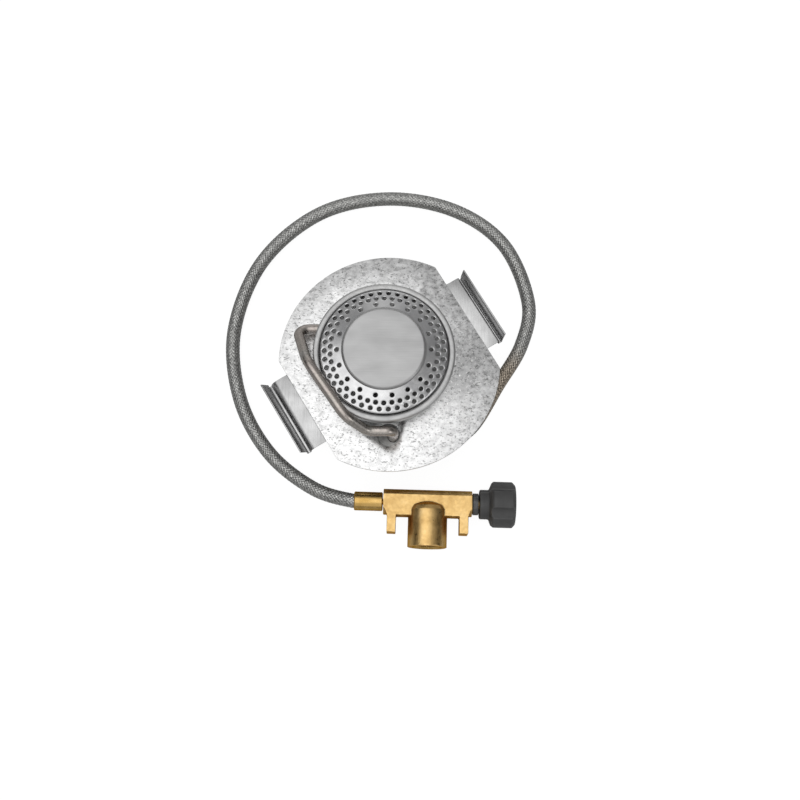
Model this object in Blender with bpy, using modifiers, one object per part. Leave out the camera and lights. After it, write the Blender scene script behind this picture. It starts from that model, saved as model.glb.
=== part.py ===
"""Remote-canister gas burner: a plate-mounted burner head, a braided hose and a brass canister valve.

Dimensions below are in millimetres; the helpers turn them into metres. +Z is up. The origin is on the
burner's axis, at the flat underside of the jet holder. +X points to the knob end of the valve.
"""

import math

import bmesh
import bpy
from mathutils import Matrix, Vector

MM = 0.001
GAP = 0.3  # clearance where two pieces meet
SLIP = 0.1  # clearance of a close sliding fit
OVERCUT = 1.0  # how far a cutter runs past the face that it opens
SIDES = 48  # facets round a turned piece

# Mounting plate
PLATE_UNDER = 22.0
PLATE_THICK = 0.8
PLATE_TOP = PLATE_UNDER + PLATE_THICK
PLATE_RADIUS = 46.0
PLATE_CENTRE_X = 2.0
FLAT_RIGHT = 38.1  # from the plate's centre to its right-hand straight edge
FLAT_LEFT = 39.2
FLAT_ANGLE = 31.0  # direction of the right-hand straight edge's outward normal
NECK_HOLE_RADIUS = 6.0

# Burner head
RIM_RADIUS = 27.4
RIM_Z = 38.0
RIM_BEAD_WIDTH = 2.6
RIM_BEAD_HEIGHT = 2.2
BOWL_WALL = 0.6
BOWL_OUTSIDE = ((28.3, 37.0), (28.2, 32.6), (26.4, 31.0), (17.0, 30.2), (10.6, 28.6), (8.7, 25.6))
BOWL_INSIDE = ((8.1, 25.8), (10.2, 29.1), (16.8, 30.8), (26.1, 31.6), (27.5, 32.9), (27.5, 36.6))
CONE_FOOT = (25.6, 39.9)
CONE_TOP = (15.7, 43.2)
CONE_STEEPNESS = (CONE_TOP[1] - CONE_FOOT[1]) / (CONE_FOOT[0] - CONE_TOP[0])
CONE_WALL = 0.5
CONE_SKIRT = 37.6  # height of the bottom of the cone's turned-down edge
HOLE_RADIUS = 0.95
HOLE_SIDES = 6
HOLE_ROWS = ((24.1, 42, 0.0), (21.7, 42, 0.5), (19.0, 18, 0.0))  # radius, count, stagger in holes
CAP_RADIUS = 17.0
CAP_TOP = 45.0
CAP_WALL = 0.7
CAP_EDGE = 1.4
CAP_LIP = 0.4
NECK_OUTER = 5.6
NECK_INNER = 4.6
MIXING_BOTTOM = 8.6
MIXING_TOP = 26.5
MIXING_FLANGE = 9.0
AIR_HOLE_RADIUS = 2.1
AIR_HOLE_Z = 14.6
AIR_DRILLS = 2  # each one cuts two opposite air holes
MIXING_FLANGE_THICK = 1.0
LOCK_RING_RADIUS = 7.8
LOCK_RING_HEIGHT = 1.7

# Jet
HOLDER_RADIUS = 7.5
HOLDER_HEIGHT = 7.0
SPIGOT_RADIUS = 4.2
SPIGOT_TOP = 10.5
FEED_BOSS_END = 10.0
FEED_SOCKET_FLOOR = 6.0
FEED_TUBE_START = 6.5
GAS_BORE = 1.2
JET_THREAD = 1.5
JET_SHANK_START = 7.0
JET_COLLAR = 2.6
JET_COLLAR_HEIGHT = 1.6
JET_TIP_Z = 14.5
JET_ORIFICE = 0.2

# Preheat tube
TUBE_RADIUS = 2.1
TUBE_CLEAR = TUBE_RADIUS + GAP
FEED_Z = 4.0
FEED_CORNER = (-17.0, 12.8)
RISER = (3.6, -31.4)
TUBE_CORNERS = (  # position, bend radius
    ((*FEED_CORNER, FEED_Z), 4.5),
    ((*FEED_CORNER, 27.5), 4.0),
    ((-36.2, FEED_CORNER[1], 27.5), 4.2),
    ((-30.8, -4.4, 41.8), 12.0),
    ((-15.2, -27.2, 42.2), 8.0),
    ((-6.6, RISER[1], 33.6), 6.0),
    ((*RISER, 33.6), 3.0),
)
TUBE_END_Z = 13.0
FEED_BOSS_RADIUS = 3.6
JET_NUT_CORNER = 3.8
JET_NUT_LENGTH = 4.0
INLET_NUT_CORNER = 7.9
INLET_NUT_LENGTH = 5.1
RISER_HOLE_CENTRE = (1.7, -30.8)
RISER_HOLE_RADIUS = 4.7

# Inlet connector, under the plate
INLET_RADIUS = 4.6
INLET_BOTTOM = 4.6
INLET_TOP = 16.0
INLET_PORT_Z = 9.0
INLET_PORT_RADIUS = 3.3
INLET_PORT_END = 12.2
INLET_BORE_BOTTOM = 7.5

# Hose
HOSE_RADIUS = 3.1
BRAID_WALL = 0.45
LINER_RADIUS = 2.25
LINER_WALL = 0.75
REST_Z = 3.2
HOSE_START_X = 12.9
HOSE_STRAIGHT_X = 23.8
HOSE_ROUTE = (
    (36.5, -24.6, 8.0),
    (48.3, -5.6, 5.2),
    (59.2, 13.1, 3.4),
    (62.6, 33.0, REST_Z),
    (52.2, 59.6, REST_Z),
    (30.0, 75.9, REST_Z),
    (0.0, 81.2, REST_Z),
    (-30.0, 73.8, REST_Z),
    (-54.5, 51.4, REST_Z),
    (-65.8, 20.0, REST_Z),
    (-62.6, -10.2, REST_Z),
    (-49.6, -34.2, 3.5),
    (-30.5, -49.9, 5.4),
)
SWING_POINT = (0.0, 81.2, REST_Z)  # the hose's sideways bend
LIFT_POINT = (-65.8, 20.0, REST_Z)  # the hose's upward bend
FLEX_GAP = 2.0
FERRULE_RADIUS = 3.9
FERRULE_BORE = HOSE_RADIUS + GAP
NIPPLE_OUTER = 1.25
NIPPLE_INNER = 0.8
NIPPLE_LENGTH = 14.0
NIPPLE_DEPTH = 4.0  # how far the barbed insert reaches into the inlet
FERRULE_EDGE = 0.4
FERRULE_LENGTH = 11.0

# Valve, along its own x axis from the hose end of the body
VALVE_ORIGIN = (0.0, -56.4, 9.6)
VALVE_YAW = -1.7
BODY_START = -0.5
BODY_END = 36.2
BODY_EDGE = 0.6  # how far the slab stops short of each end of the barrel
SLAB_BACK = 2.0
SLAB_SHOULDER = -3.2
BARREL_RADIUS = 5.35
BODY_HALF = 4.5  # half the distance between the body's flat top and bottom
SLAB_FRONT = -5.7
LUG_FRONT = -12.8
LUG_WIDTH = 3.7
LUG_LEFT = 1.2
LUG_RIGHT = 31.0
SOCKET_X = 18.0
SOCKET_RADIUS = 8.1
SOCKET_MOUTH = -18.4
SOCKET_BACK = -3.2
SOCKET_DOME = 3.4
SOCKET_DOME_TOP = 4.0
THREAD_RADIUS = 5.55  # 7/16-28 UNEF canister thread
THREAD_DEPTH = 10.4
SEAL_INNER = 2.9
SEAL_OUTER = 5.1
SEAL_THICK = 1.6
FILTER_INNER = 1.2
FILTER_OUTER = 2.3
FILTER_THICK = 1.4
PIN_RADIUS = 0.8
PIN_LENGTH = 8.2
MOUTH_CHAMFER = 1.0
FILTER_BORE = 2.6
FILTER_DEPTH = 2.2
OUTLET_BORE = 0.9
SPINDLE_BORE = 2.9
SEAT_X = 13.5
HOSE_FINISH_X = (-13.0, -2.2)  # the hose's last straight stretch
VALVE_FERRULE_LENGTH = 11.8
VALVE_FERRULE_GAP = 0.8
VALVE_NIPPLE_START = -10.0
VALVE_NIPPLE_LENGTH = 15.0
GLAND_SOCKET_X = 30.0
GLAND_THREAD = 3.6
GLAND_COLLAR = 4.5
GLAND_END = 38.8
KNOB_START = 39.2
KNOB_NECK_RADIUS = 6.1
KNOB_NECK_END = 43.1
KNOB_RADIUS = 9.6
KNOB_SHOULDER_END = 44.1
KNOB_END = 53.9
KNOB_ROUND = 1.6
KNOB_FACE = KNOB_RADIUS - KNOB_ROUND
KNOB_LOBES = 5
KNOB_FLUTE_ANGLE = 136.3
KNOB_FLUTE_RADIUS = 3.4
KNOB_FLUTE_CENTRE = 11.6
SPINDLE_RADIUS = 2.0
SPINDLE_LAND = 2.6
SPINDLE_NEEDLE = 1.5
SPINDLE_TIP = 16.1
SPINDLE_END = 51.5
O_RING_X = 25.0
O_RING_RADIUS = 2.1
O_RING_SECTION = 0.6

# Spring clips, each folded from one strip that starts under the plate
CLIP_LENGTH = 32.8
CLIP_STRIP = 0.5
CLIP_TAB = 7.0
CLIP_DROP = 4.0
CLIP_RISE = 6.2
CLIP_GROOVE = 1.5  # between the middles of the groove's two walls
CLIP_BEND = 0.5
CLIP_SHAPES = (  # name, direction, plate edge, distance to the groove, radius into it, lean, slide
    ("spring_clip_right", FLAT_ANGLE, FLAT_RIGHT, 6.1, 0.8, 0.8, 0.7),
    ("spring_clip_left", FLAT_ANGLE + 180, FLAT_LEFT, 7.4, 2.7, 2.6, -1.2),
)

STEEL = ((0.62, 0.62, 0.63), 1.0, 0.3)
BRASS = ((0.72, 0.52, 0.24), 1.0, 0.32)


def clear_scene():
    for item in list(bpy.data.objects):
        bpy.data.objects.remove(item, do_unlink=True)


def new_collection(name, hidden=False):
    collection = bpy.data.collections.new(name)
    collection.hide_render = hidden
    bpy.context.scene.collection.children.link(collection)
    return collection


def paint(obj, look):
    """Gives the object its own Principled material: colour, metallic, roughness."""
    colour, metallic, roughness = look
    material = bpy.data.materials.new(obj.name)
    material.use_nodes = True
    shader = material.node_tree.nodes["Principled BSDF"]
    shader.inputs["Base Color"].default_value = (*colour, 1.0)
    shader.inputs["Metallic"].default_value = metallic
    shader.inputs["Roughness"].default_value = roughness
    obj.data.materials.clear()
    obj.data.materials.append(material)


def place(obj, collection, location=(0, 0, 0), rotation=(0, 0, 0), parent=None):
    """Links the object, set in millimetres and radians under an optional parent."""
    collection.objects.link(obj)
    obj.location = Vector(location) * MM
    obj.rotation_euler = rotation
    obj.parent = parent
    return obj


def mesh_object(name, build):
    """An object whose mesh is made by build(bm), in millimetres."""
    bm = bmesh.new()
    build(bm)
    bmesh.ops.scale(bm, vec=(MM, MM, MM), verts=bm.verts)
    mesh = bpy.data.meshes.new(name)
    bm.to_mesh(mesh)
    bm.free()
    return bpy.data.objects.new(name, mesh)


def smooth(obj, degrees=35):
    obj.data.shade_smooth()
    obj.data.set_sharp_from_angle(angle=math.radians(degrees))


def turned(name, profile, closed=True, sides=SIDES):
    """A turned piece: (radius, z) points, down the outer side first, swept round Z."""

    def outline(bm):
        points = [bm.verts.new((r, 0, z)) for r, z in profile]
        for first, second in zip(points, points[1:]):
            bm.edges.new((first, second))
        if closed:
            bm.edges.new((points[-1], points[0]))

    obj = mesh_object(name, outline)
    screw = obj.modifiers.new("Turn", "SCREW")
    screw.axis = "Z"
    screw.steps = sides
    screw.render_steps = sides
    screw.use_merge_vertices = True
    screw.merge_threshold = 0.00001
    screw.use_smooth_shade = True
    return obj


def ring_profile(inner, outer, bottom, top):
    """A plain sleeve between two radii and two heights."""
    return [(outer, top), (outer, bottom), (inner, bottom), (inner, top)]


def hexagon_profile(bore, corner, bottom, top):
    """A sleeve that is turned in six steps, with its hexagonal bore clear of a round one."""
    return ring_profile(bore / math.cos(math.radians(30)), corner, bottom, top)


def arc(centre, radius, start, end, steps):
    """Points on an arc in a plane, with angles in degrees."""
    angles = [math.radians(start + (end - start) * i / steps) for i in range(steps + 1)]
    return [(centre[0] + radius * math.cos(a), centre[1] + radius * math.sin(a)) for a in angles]


def cylinder(name, radius, start, end, sides=SIDES, end_radius=None):
    """A round bar or cone between two points, in millimetres."""
    start = Vector(start)
    line = Vector(end) - start
    turn = line.to_track_quat("Z", "Y").to_matrix().to_4x4()
    matrix = Matrix.Translation(start + line / 2) @ turn

    def bar(bm):
        bmesh.ops.create_cone(
            bm,
            cap_ends=True,
            segments=sides,
            radius1=radius,
            radius2=radius if end_radius is None else end_radius,
            depth=line.length,
            matrix=matrix,
        )

    obj = mesh_object(name, bar)
    smooth(obj)
    return obj


def combine(obj, other, operation, cutters):
    """Adds a Boolean with a helper object, which stays in the hidden collection."""
    if other.name not in cutters.objects:
        cutters.objects.link(other)
    other.display_type = "WIRE"
    other.parent = obj
    boolean = obj.modifiers.new(other.name, "BOOLEAN")
    boolean.operation = operation
    boolean.solver = "EXACT"
    boolean.object = other


def filleted(corners, start, end, step=25):
    """A path from start to end through rounded corners, each (position, radius)."""
    knots = [Vector(start)] + [Vector(p) for p, _ in corners] + [Vector(end)]
    path = [knots[0]]
    for before, corner, after, (_, radius) in zip(knots, knots[1:], knots[2:], corners):
        into = (corner - before).normalized()
        out = (after - corner).normalized()
        bend = into.angle(out)
        trim = radius * math.tan(bend / 2)
        steps = max(2, round(math.degrees(bend) / step))
        normal = (out - into * into.dot(out)).normalized()
        centre = corner - into * trim + normal * radius
        for i in range(steps + 1):
            angle = bend * i / steps
            path.append(centre - normal * radius * math.cos(angle) + into * radius * math.sin(angle))
    path.append(knots[-1])
    return path


def smooth_route(points, steps=4):
    """A straight start, a Catmull-Rom path through the inner points, and a straight end."""
    knots = [Vector(p) for p in points]
    path = [knots[0]]
    for a, b, c, d in zip(knots, knots[1:], knots[2:], knots[3:]):
        for i in range(steps):
            t = i / steps
            square = (2 * a - 5 * b + 4 * c - d) * t**2
            cube = (3 * b - a - 3 * c + d) * t**3
            path.append(0.5 * (2 * b + (c - a) * t + square + cube))
    return path + knots[-2:]


def tube_curve(name, path, radius, capped=True):
    curve = bpy.data.curves.new(name, "CURVE")
    curve.dimensions = "3D"
    curve.bevel_depth = radius * MM
    curve.bevel_resolution = 2
    curve.use_fill_caps = capped
    spline = curve.splines.new("POLY")
    spline.points.add(len(path) - 1)
    for point, position in zip(spline.points, path):
        point.co = (*(position * MM), 1.0)
    return bpy.data.objects.new(name, curve)


def as_mesh(curve_object, collection):
    """Replaces a linked curve by its mesh, with the caps welded."""
    bpy.context.view_layer.update()
    evaluated = curve_object.evaluated_get(bpy.context.evaluated_depsgraph_get())
    mesh = bpy.data.meshes.new_from_object(evaluated)
    bm = bmesh.new()
    bm.from_mesh(mesh)
    bmesh.ops.remove_doubles(bm, verts=bm.verts, dist=0.000001)
    bmesh.ops.recalc_face_normals(bm, faces=bm.faces)
    bm.to_mesh(mesh)
    bm.free()
    name = curve_object.name
    matrix = curve_object.matrix_world.copy()
    bpy.data.objects.remove(curve_object, do_unlink=True)
    obj = bpy.data.objects.new(name, mesh)
    collection.objects.link(obj)
    obj.matrix_world = matrix
    return obj


def hollow_tube(name, path, radius, wall, collection):
    """A pipe with open ends along a path."""
    curve = tube_curve(name, path, radius, capped=False)
    collection.objects.link(curve)
    obj = as_mesh(curve, collection)
    solidify = obj.modifiers.new("Wall", "SOLIDIFY")
    solidify.thickness = wall * MM
    solidify.offset = -1.0
    smooth(obj)
    return obj


def flat_spline(curve, points):
    spline = curve.splines.new("POLY")
    spline.points.add(len(points) - 1)
    for point, (x, y) in zip(spline.points, points):
        point.co = (x * MM, y * MM, 0.0, 1.0)
    spline.use_cyclic_u = True


def plate_object(name, outlines, thickness):
    """A flat piece from an outline followed by the outlines of its holes."""
    curve = bpy.data.curves.new(name, "CURVE")
    curve.dimensions = "2D"
    curve.fill_mode = "BOTH"
    curve.extrude = thickness * MM / 2
    for points in outlines:
        flat_spline(curve, points)
    return bpy.data.objects.new(name, curve)


def circle(centre, radius, steps=24):
    return arc(centre, radius, 0, 360, steps)[:-1]


def mounting_plate(parts):
    """The round sheet plate, with two straight edges and three holes."""
    right = math.degrees(math.acos(FLAT_RIGHT / PLATE_RADIUS))
    left = math.degrees(math.acos(FLAT_LEFT / PLATE_RADIUS))
    centre = (PLATE_CENTRE_X, 0.0)
    outline = arc(centre, PLATE_RADIUS, FLAT_ANGLE + right, FLAT_ANGLE + 180 - left, 24)
    outline += arc(centre, PLATE_RADIUS, FLAT_ANGLE + 180 + left, FLAT_ANGLE + 360 - right, 24)
    holes = [
        circle((0, 0), NECK_HOLE_RADIUS),
        circle(RISER_HOLE_CENTRE, RISER_HOLE_RADIUS),
        circle(FEED_CORNER, TUBE_CLEAR + GAP),
    ]
    plate = plate_object("mounting_plate", [outline] + holes, PLATE_THICK)
    place(plate, parts, (0, 0, PLATE_UNDER + PLATE_THICK / 2))
    paint(plate, ((0.78, 0.78, 0.77), 1.0, 0.35))


def burner_bowl(parts):
    """The drum-sided bowl, from its rolled rim down to the foot that sits on the plate."""
    foot = PLATE_TOP + GAP
    bore = NECK_OUTER + GAP
    half_width, half_height = RIM_BEAD_WIDTH / 2, RIM_BEAD_HEIGHT / 2
    round_bead = arc((0, 0), 1, 215, -25, 10)
    bead = [(RIM_RADIUS + half_width * r, RIM_Z + half_height * z) for r, z in round_bead]
    base = [(BOWL_OUTSIDE[-1][0], foot), (bore, foot), (bore, foot + BOWL_WALL)]
    base.append((BOWL_INSIDE[0][0], foot + BOWL_WALL))
    bowl = turned("burner_bowl", bead + list(BOWL_OUTSIDE) + base + list(BOWL_INSIDE))
    place(bowl, parts)
    paint(bowl, STEEL)


def flame_ring(parts, cutters):
    """The perforated cone between the rim and the cap, with its foot turned down inside the rim."""
    foot, top = Vector(CONE_FOOT), Vector(CONE_TOP)
    slope = (foot - top).normalized()
    normal = Vector((-slope.y, slope.x))
    inner = normal * -CONE_WALL
    turned_down = foot - slope * CONE_WALL + inner
    profile = [tuple(top), tuple(foot), (foot.x, CONE_SKIRT), (foot.x - CONE_WALL, CONE_SKIRT)]
    profile += [(foot.x - CONE_WALL, turned_down.y), tuple(top + inner)]
    ring = turned("flame_ring", profile)
    place(ring, parts)
    holes = mesh_object("flame_holes", lambda bm: add_flame_holes(bm, normal))
    combine(ring, holes, "DIFFERENCE", cutters)
    paint(ring, STEEL)


def add_flame_holes(bm, normal):
    """One short drill for each gas hole, square to the cone."""
    for radius, count, stagger in HOLE_ROWS:
        height = CONE_FOOT[1] + (CONE_FOOT[0] - radius) * CONE_STEEPNESS
        for i in range(count):
            spin = Matrix.Rotation(math.tau * (i + stagger) / count, 4, "Z")
            tilt = Vector((normal.x, 0, normal.y)).to_track_quat("Z", "Y").to_matrix().to_4x4()
            bmesh.ops.create_cone(
                bm,
                cap_ends=True,
                segments=HOLE_SIDES,
                radius1=HOLE_RADIUS,
                radius2=HOLE_RADIUS,
                depth=6 * CONE_WALL,
                matrix=spin @ Matrix.Translation((radius, 0, height)) @ tilt,
            )


def burner_cap(parts):
    """The pressed disc with a rounded edge that closes the cone."""
    top_edge = (CAP_RADIUS - CAP_EDGE, CAP_TOP - CAP_EDGE)
    under = CAP_TOP - CAP_WALL
    outer = [(0.0, CAP_TOP)] + arc(top_edge, CAP_EDGE, 90, 0, 4)
    skirt = top_edge[1] - GAP / 2
    inner = [(CAP_RADIUS, skirt), (CAP_RADIUS - CAP_LIP, skirt)]
    inner += [(CAP_RADIUS - CAP_EDGE, under), (0.0, under)]
    cap = turned("burner_cap", outer + inner, closed=False)
    place(cap, parts)
    paint(cap, ((0.66, 0.66, 0.66), 1.0, 0.42))


def mixing_tube(parts, cutters):
    """The flanged tube that carries gas and air from the jet up into the bowl."""
    flange_top = PLATE_UNDER - GAP
    flange_bottom = flange_top - MIXING_FLANGE_THICK
    profile = [(NECK_OUTER, MIXING_TOP), (NECK_OUTER, flange_top), (MIXING_FLANGE, flange_top)]
    profile += [(MIXING_FLANGE, flange_bottom), (NECK_OUTER, flange_bottom), (NECK_OUTER, MIXING_BOTTOM)]
    profile += [(NECK_INNER, MIXING_BOTTOM), (NECK_INNER, MIXING_TOP)]
    tube = turned("mixing_tube", profile, sides=32)
    place(tube, parts)
    for i in range(AIR_DRILLS):
        angle = math.pi * (i + 0.5) / AIR_DRILLS
        reach = Vector((math.cos(angle), math.sin(angle), 0)) * (NECK_OUTER + 2)
        middle = Vector((0, 0, AIR_HOLE_Z))
        drill = cylinder(f"air_drill_{i}", AIR_HOLE_RADIUS, middle - reach, middle + reach, sides=16)
        combine(tube, drill, "DIFFERENCE", cutters)
    paint(tube, ((0.55, 0.55, 0.56), 1.0, 0.4))


def bowl_lock_ring(parts):
    """The ring nut inside the bowl that clamps it, the plate and the mixing tube together."""
    bottom = PLATE_TOP + 2 * GAP + BOWL_WALL
    profile = hexagon_profile(NECK_OUTER + SLIP, LOCK_RING_RADIUS, bottom, bottom + LOCK_RING_HEIGHT)
    ring = turned("bowl_lock_ring", profile, sides=6)
    place(ring, parts)
    paint(ring, BRASS)


def feed_direction():
    return Vector((*FEED_CORNER, 0)).normalized()


def jet_holder(parts, cutters):
    """The brass block at the bottom: feed port at the side, jet in the spigot above."""
    shoulder = HOLDER_HEIGHT
    profile = [(0.0, SPIGOT_TOP), (SPIGOT_RADIUS, SPIGOT_TOP), (SPIGOT_RADIUS, shoulder)]
    profile += [(HOLDER_RADIUS, shoulder), (HOLDER_RADIUS, 0.0), (0.0, 0.0)]
    holder = turned("jet_holder", profile, closed=False, sides=24)
    place(holder, parts)
    out = feed_direction()
    middle = Vector((0, 0, FEED_Z))
    inner, mouth = middle + out * FEED_SOCKET_FLOOR, middle + out * FEED_BOSS_END
    boss = cylinder("feed_boss", FEED_BOSS_RADIUS, inner - out, mouth, sides=24)
    combine(holder, boss, "UNION", cutters)
    socket = cylinder("feed_socket", TUBE_CLEAR, inner, mouth + out * OVERCUT, sides=16)
    combine(holder, socket, "DIFFERENCE", cutters)
    channel = cylinder("feed_channel", GAS_BORE, middle - out, inner + out * OVERCUT, sides=12)
    combine(holder, channel, "DIFFERENCE", cutters)
    top = (0, 0, SPIGOT_TOP + OVERCUT)
    riser = cylinder("jet_bore", JET_THREAD + GAP, (0, 0, FEED_Z - GAS_BORE), top, sides=16)
    combine(holder, riser, "DIFFERENCE", cutters)
    paint(holder, BRASS)


def jet_nozzle(parts):
    """The screw-in jet: threaded shank, collar and drilled tip."""
    head = SPIGOT_TOP + GAP
    shoulder = head + JET_COLLAR_HEIGHT
    profile = [(JET_ORIFICE, JET_TIP_Z), (0.9, JET_TIP_Z), (1.4, shoulder), (JET_COLLAR, shoulder)]
    profile += [(JET_COLLAR, head), (JET_THREAD, head)]
    profile += [(JET_THREAD, JET_SHANK_START), (JET_ORIFICE, JET_SHANK_START)]
    nozzle = turned("jet_nozzle", profile, sides=12)
    place(nozzle, parts)
    paint(nozzle, BRASS)


def preheat_tube(parts):
    """The steel tube that loops over the head, from the inlet riser to the jet holder."""
    out = feed_direction()
    start = Vector((0, 0, FEED_Z)) + out * FEED_TUBE_START
    end = (*RISER, TUBE_END_Z)
    tube = tube_curve("preheat_tube", filleted(TUBE_CORNERS, start, end), TUBE_RADIUS)
    place(tube, parts)
    paint(tube, ((0.42, 0.40, 0.38), 1.0, 0.35))


def union_nut(name, parts, start, direction, length, corner):
    """A hexagon nut on the preheat tube, bored clear of it."""
    nut = turned(name, hexagon_profile(TUBE_CLEAR, corner, 0.0, length), sides=6)
    return place(nut, parts, start, direction.to_track_quat("Z", "Y").to_euler())


def preheat_nuts(parts):
    """The small brass nut at the jet holder and the wide steel one under the riser hole."""
    out = feed_direction()
    feed = Vector((0, 0, FEED_Z)) + out * (FEED_BOSS_END + GAP)
    jet_nut = union_nut("preheat_nut_jet", parts, feed, out, JET_NUT_LENGTH, JET_NUT_CORNER)
    paint(jet_nut, BRASS)
    foot = Vector((*RISER, INLET_TOP + GAP))
    up = Vector((0, 0, 1))
    inlet_nut = union_nut("preheat_nut_inlet", parts, foot, up, INLET_NUT_LENGTH, INLET_NUT_CORNER)
    paint(inlet_nut, ((0.30, 0.30, 0.31), 1.0, 0.4))


def inlet_connector(parts, cutters):
    """The brass elbow under the plate, between the hose and the preheat tube."""
    foot = Vector((*RISER, 0))
    up = Vector((0, 0, 1))
    east = Vector((1, 0, 0))
    base, top = foot + up * INLET_BOTTOM, foot + up * INLET_TOP
    elbow = cylinder("inlet_connector", INLET_RADIUS, base, top, sides=24)
    place(elbow, parts)
    port = foot + up * INLET_PORT_Z
    mouth = Vector((INLET_PORT_END, RISER[1], INLET_PORT_Z))
    combine(elbow, cylinder("inlet_boss", INLET_PORT_RADIUS, port, mouth, sides=24), "UNION", cutters)
    seat_floor = foot + up * (TUBE_END_Z - GAP)
    seat = cylinder("tube_seat", TUBE_CLEAR, seat_floor, top + up * OVERCUT, sides=16)
    combine(elbow, seat, "DIFFERENCE", cutters)
    bore_floor = foot + up * INLET_BORE_BOTTOM
    down = cylinder("inlet_down_bore", GAS_BORE, bore_floor, seat_floor + up * OVERCUT, sides=12)
    combine(elbow, down, "DIFFERENCE", cutters)
    side = cylinder("inlet_side_bore", NIPPLE_OUTER + GAP, port, mouth + east * OVERCUT, sides=12)
    combine(elbow, side, "DIFFERENCE", cutters)
    paint(elbow, BRASS)


def along_x(name, profile, x, yz, parts, parent=None, sides=24):
    """A turned piece laid along X: its profile heights run from x towards +X."""
    piece = turned(name, profile, sides=sides)
    return place(piece, parts, (x, *yz), (0, math.radians(90), 0), parent)


def burner_end_fittings(parts):
    """The swaged sleeve and the barbed insert at the burner end of the hose."""
    at = (RISER[1], INLET_PORT_Z)
    start = INLET_PORT_END + GAP
    sleeve = ferrule_profile(FERRULE_LENGTH)
    ferrule = along_x("hose_ferrule_burner", sleeve, start, at, parts)
    paint(ferrule, BRASS)
    insert = ring_profile(NIPPLE_INNER, NIPPLE_OUTER, 0.0, NIPPLE_LENGTH)
    nipple = along_x("hose_nipple_burner", insert, start - NIPPLE_DEPTH, at, parts, sides=12)
    paint(nipple, BRASS)


def ferrule_profile(length):
    """A smooth swaged sleeve with chamfered ends."""
    rim = FERRULE_RADIUS - FERRULE_EDGE
    outer = [(rim, length), (FERRULE_RADIUS, length - FERRULE_EDGE)]
    outer += [(FERRULE_RADIUS, FERRULE_EDGE), (rim, 0.0)]
    return outer + [(FERRULE_BORE, 0.0), (FERRULE_BORE, length)]


def valve_point(x, y=0.0, z=0.0):
    """A point given in the valve's own frame, in the world frame."""
    turn = Matrix.Rotation(math.radians(VALVE_YAW), 3, "Z")
    return Vector(VALVE_ORIGIN) + turn @ Vector((x, y, z))


def hose_path():
    y, z = RISER[1], INLET_PORT_Z
    start = [(HOSE_START_X, y, z), (HOSE_STRAIGHT_X, y, z)]
    finish = [valve_point(x) for x in HOSE_FINISH_X]
    return smooth_route(start + list(HOSE_ROUTE) + finish)


def split_path(path):
    """Three lengths of the path, parted by a gap at each of the two bending points."""
    lengths = []
    rest = path
    for place_of_bend in (SWING_POINT, LIFT_POINT):
        index = min(range(len(rest)), key=lambda i: (rest[i] - Vector(place_of_bend)).length)
        bend = rest[index]
        before = bend + (rest[index - 1] - bend).normalized() * FLEX_GAP / 2
        after = bend + (rest[index + 1] - bend).normalized() * FLEX_GAP / 2
        lengths.append(rest[:index] + [before])
        rest = [after] + rest[index + 1 :]
    return lengths + [rest]


def hose(parts):
    """The braid and its liner, each in three lengths that meet at the bending points."""
    for side, path in zip(("burner_end", "middle", "valve_end"), split_path(hose_path())):
        braid = hollow_tube(f"hose_braid_{side}", path, HOSE_RADIUS, BRAID_WALL, parts)
        paint(braid, ((0.30, 0.29, 0.28), 1.0, 0.4))
        liner = hollow_tube(f"hose_liner_{side}", path, LINER_RADIUS, LINER_WALL, parts)
        paint(liner, ((0.85, 0.85, 0.82), 0.0, 0.4))


def valve_frame(parts):
    """The empty that carries the valve; its x axis is the spindle's axis."""
    empty = bpy.data.objects.new("valve_frame", None)
    return place(empty, parts, VALVE_ORIGIN, (0, 0, math.radians(VALVE_YAW)))


def body_outline():
    """The slab's outline seen from above: straight back, two lugs in front."""
    left, right = BODY_START + BODY_EDGE, BODY_END - BODY_EDGE
    outline = [(left, SLAB_BACK), (right, SLAB_BACK), (right, SLAB_SHOULDER)]
    outline += [(LUG_RIGHT + LUG_WIDTH, SLAB_FRONT)]
    for near in (LUG_RIGHT, LUG_LEFT):
        far = near + LUG_WIDTH
        outline += [(far, SLAB_FRONT), (far, LUG_FRONT), (near, LUG_FRONT), (near, SLAB_FRONT)]
    outline.append((left, SLAB_SHOULDER))
    return list(dict.fromkeys(outline))


def slab(name, outline, half):
    """A closed prism over an outline, symmetric about z = 0."""

    def build(bm):
        face = bm.faces.new([bm.verts.new((x, y, -half)) for x, y in outline])
        top = bmesh.ops.extrude_face_region(bm, geom=[face])["geom"]
        moved = [v for v in top if isinstance(v, bmesh.types.BMVert)]
        bmesh.ops.translate(bm, verts=moved, vec=(0, 0, 2 * half))
        bmesh.ops.recalc_face_normals(bm, faces=bm.faces)

    return mesh_object(name, build)


def body_block():
    """The outline of a block round the whole body; its top and bottom trim the body flat."""
    left, right = BODY_START - OVERCUT, BODY_END + OVERCUT
    front, back = LUG_FRONT - OVERCUT, BARREL_RADIUS + OVERCUT
    return [(left, back), (right, back), (right, front), (left, front)]


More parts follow.
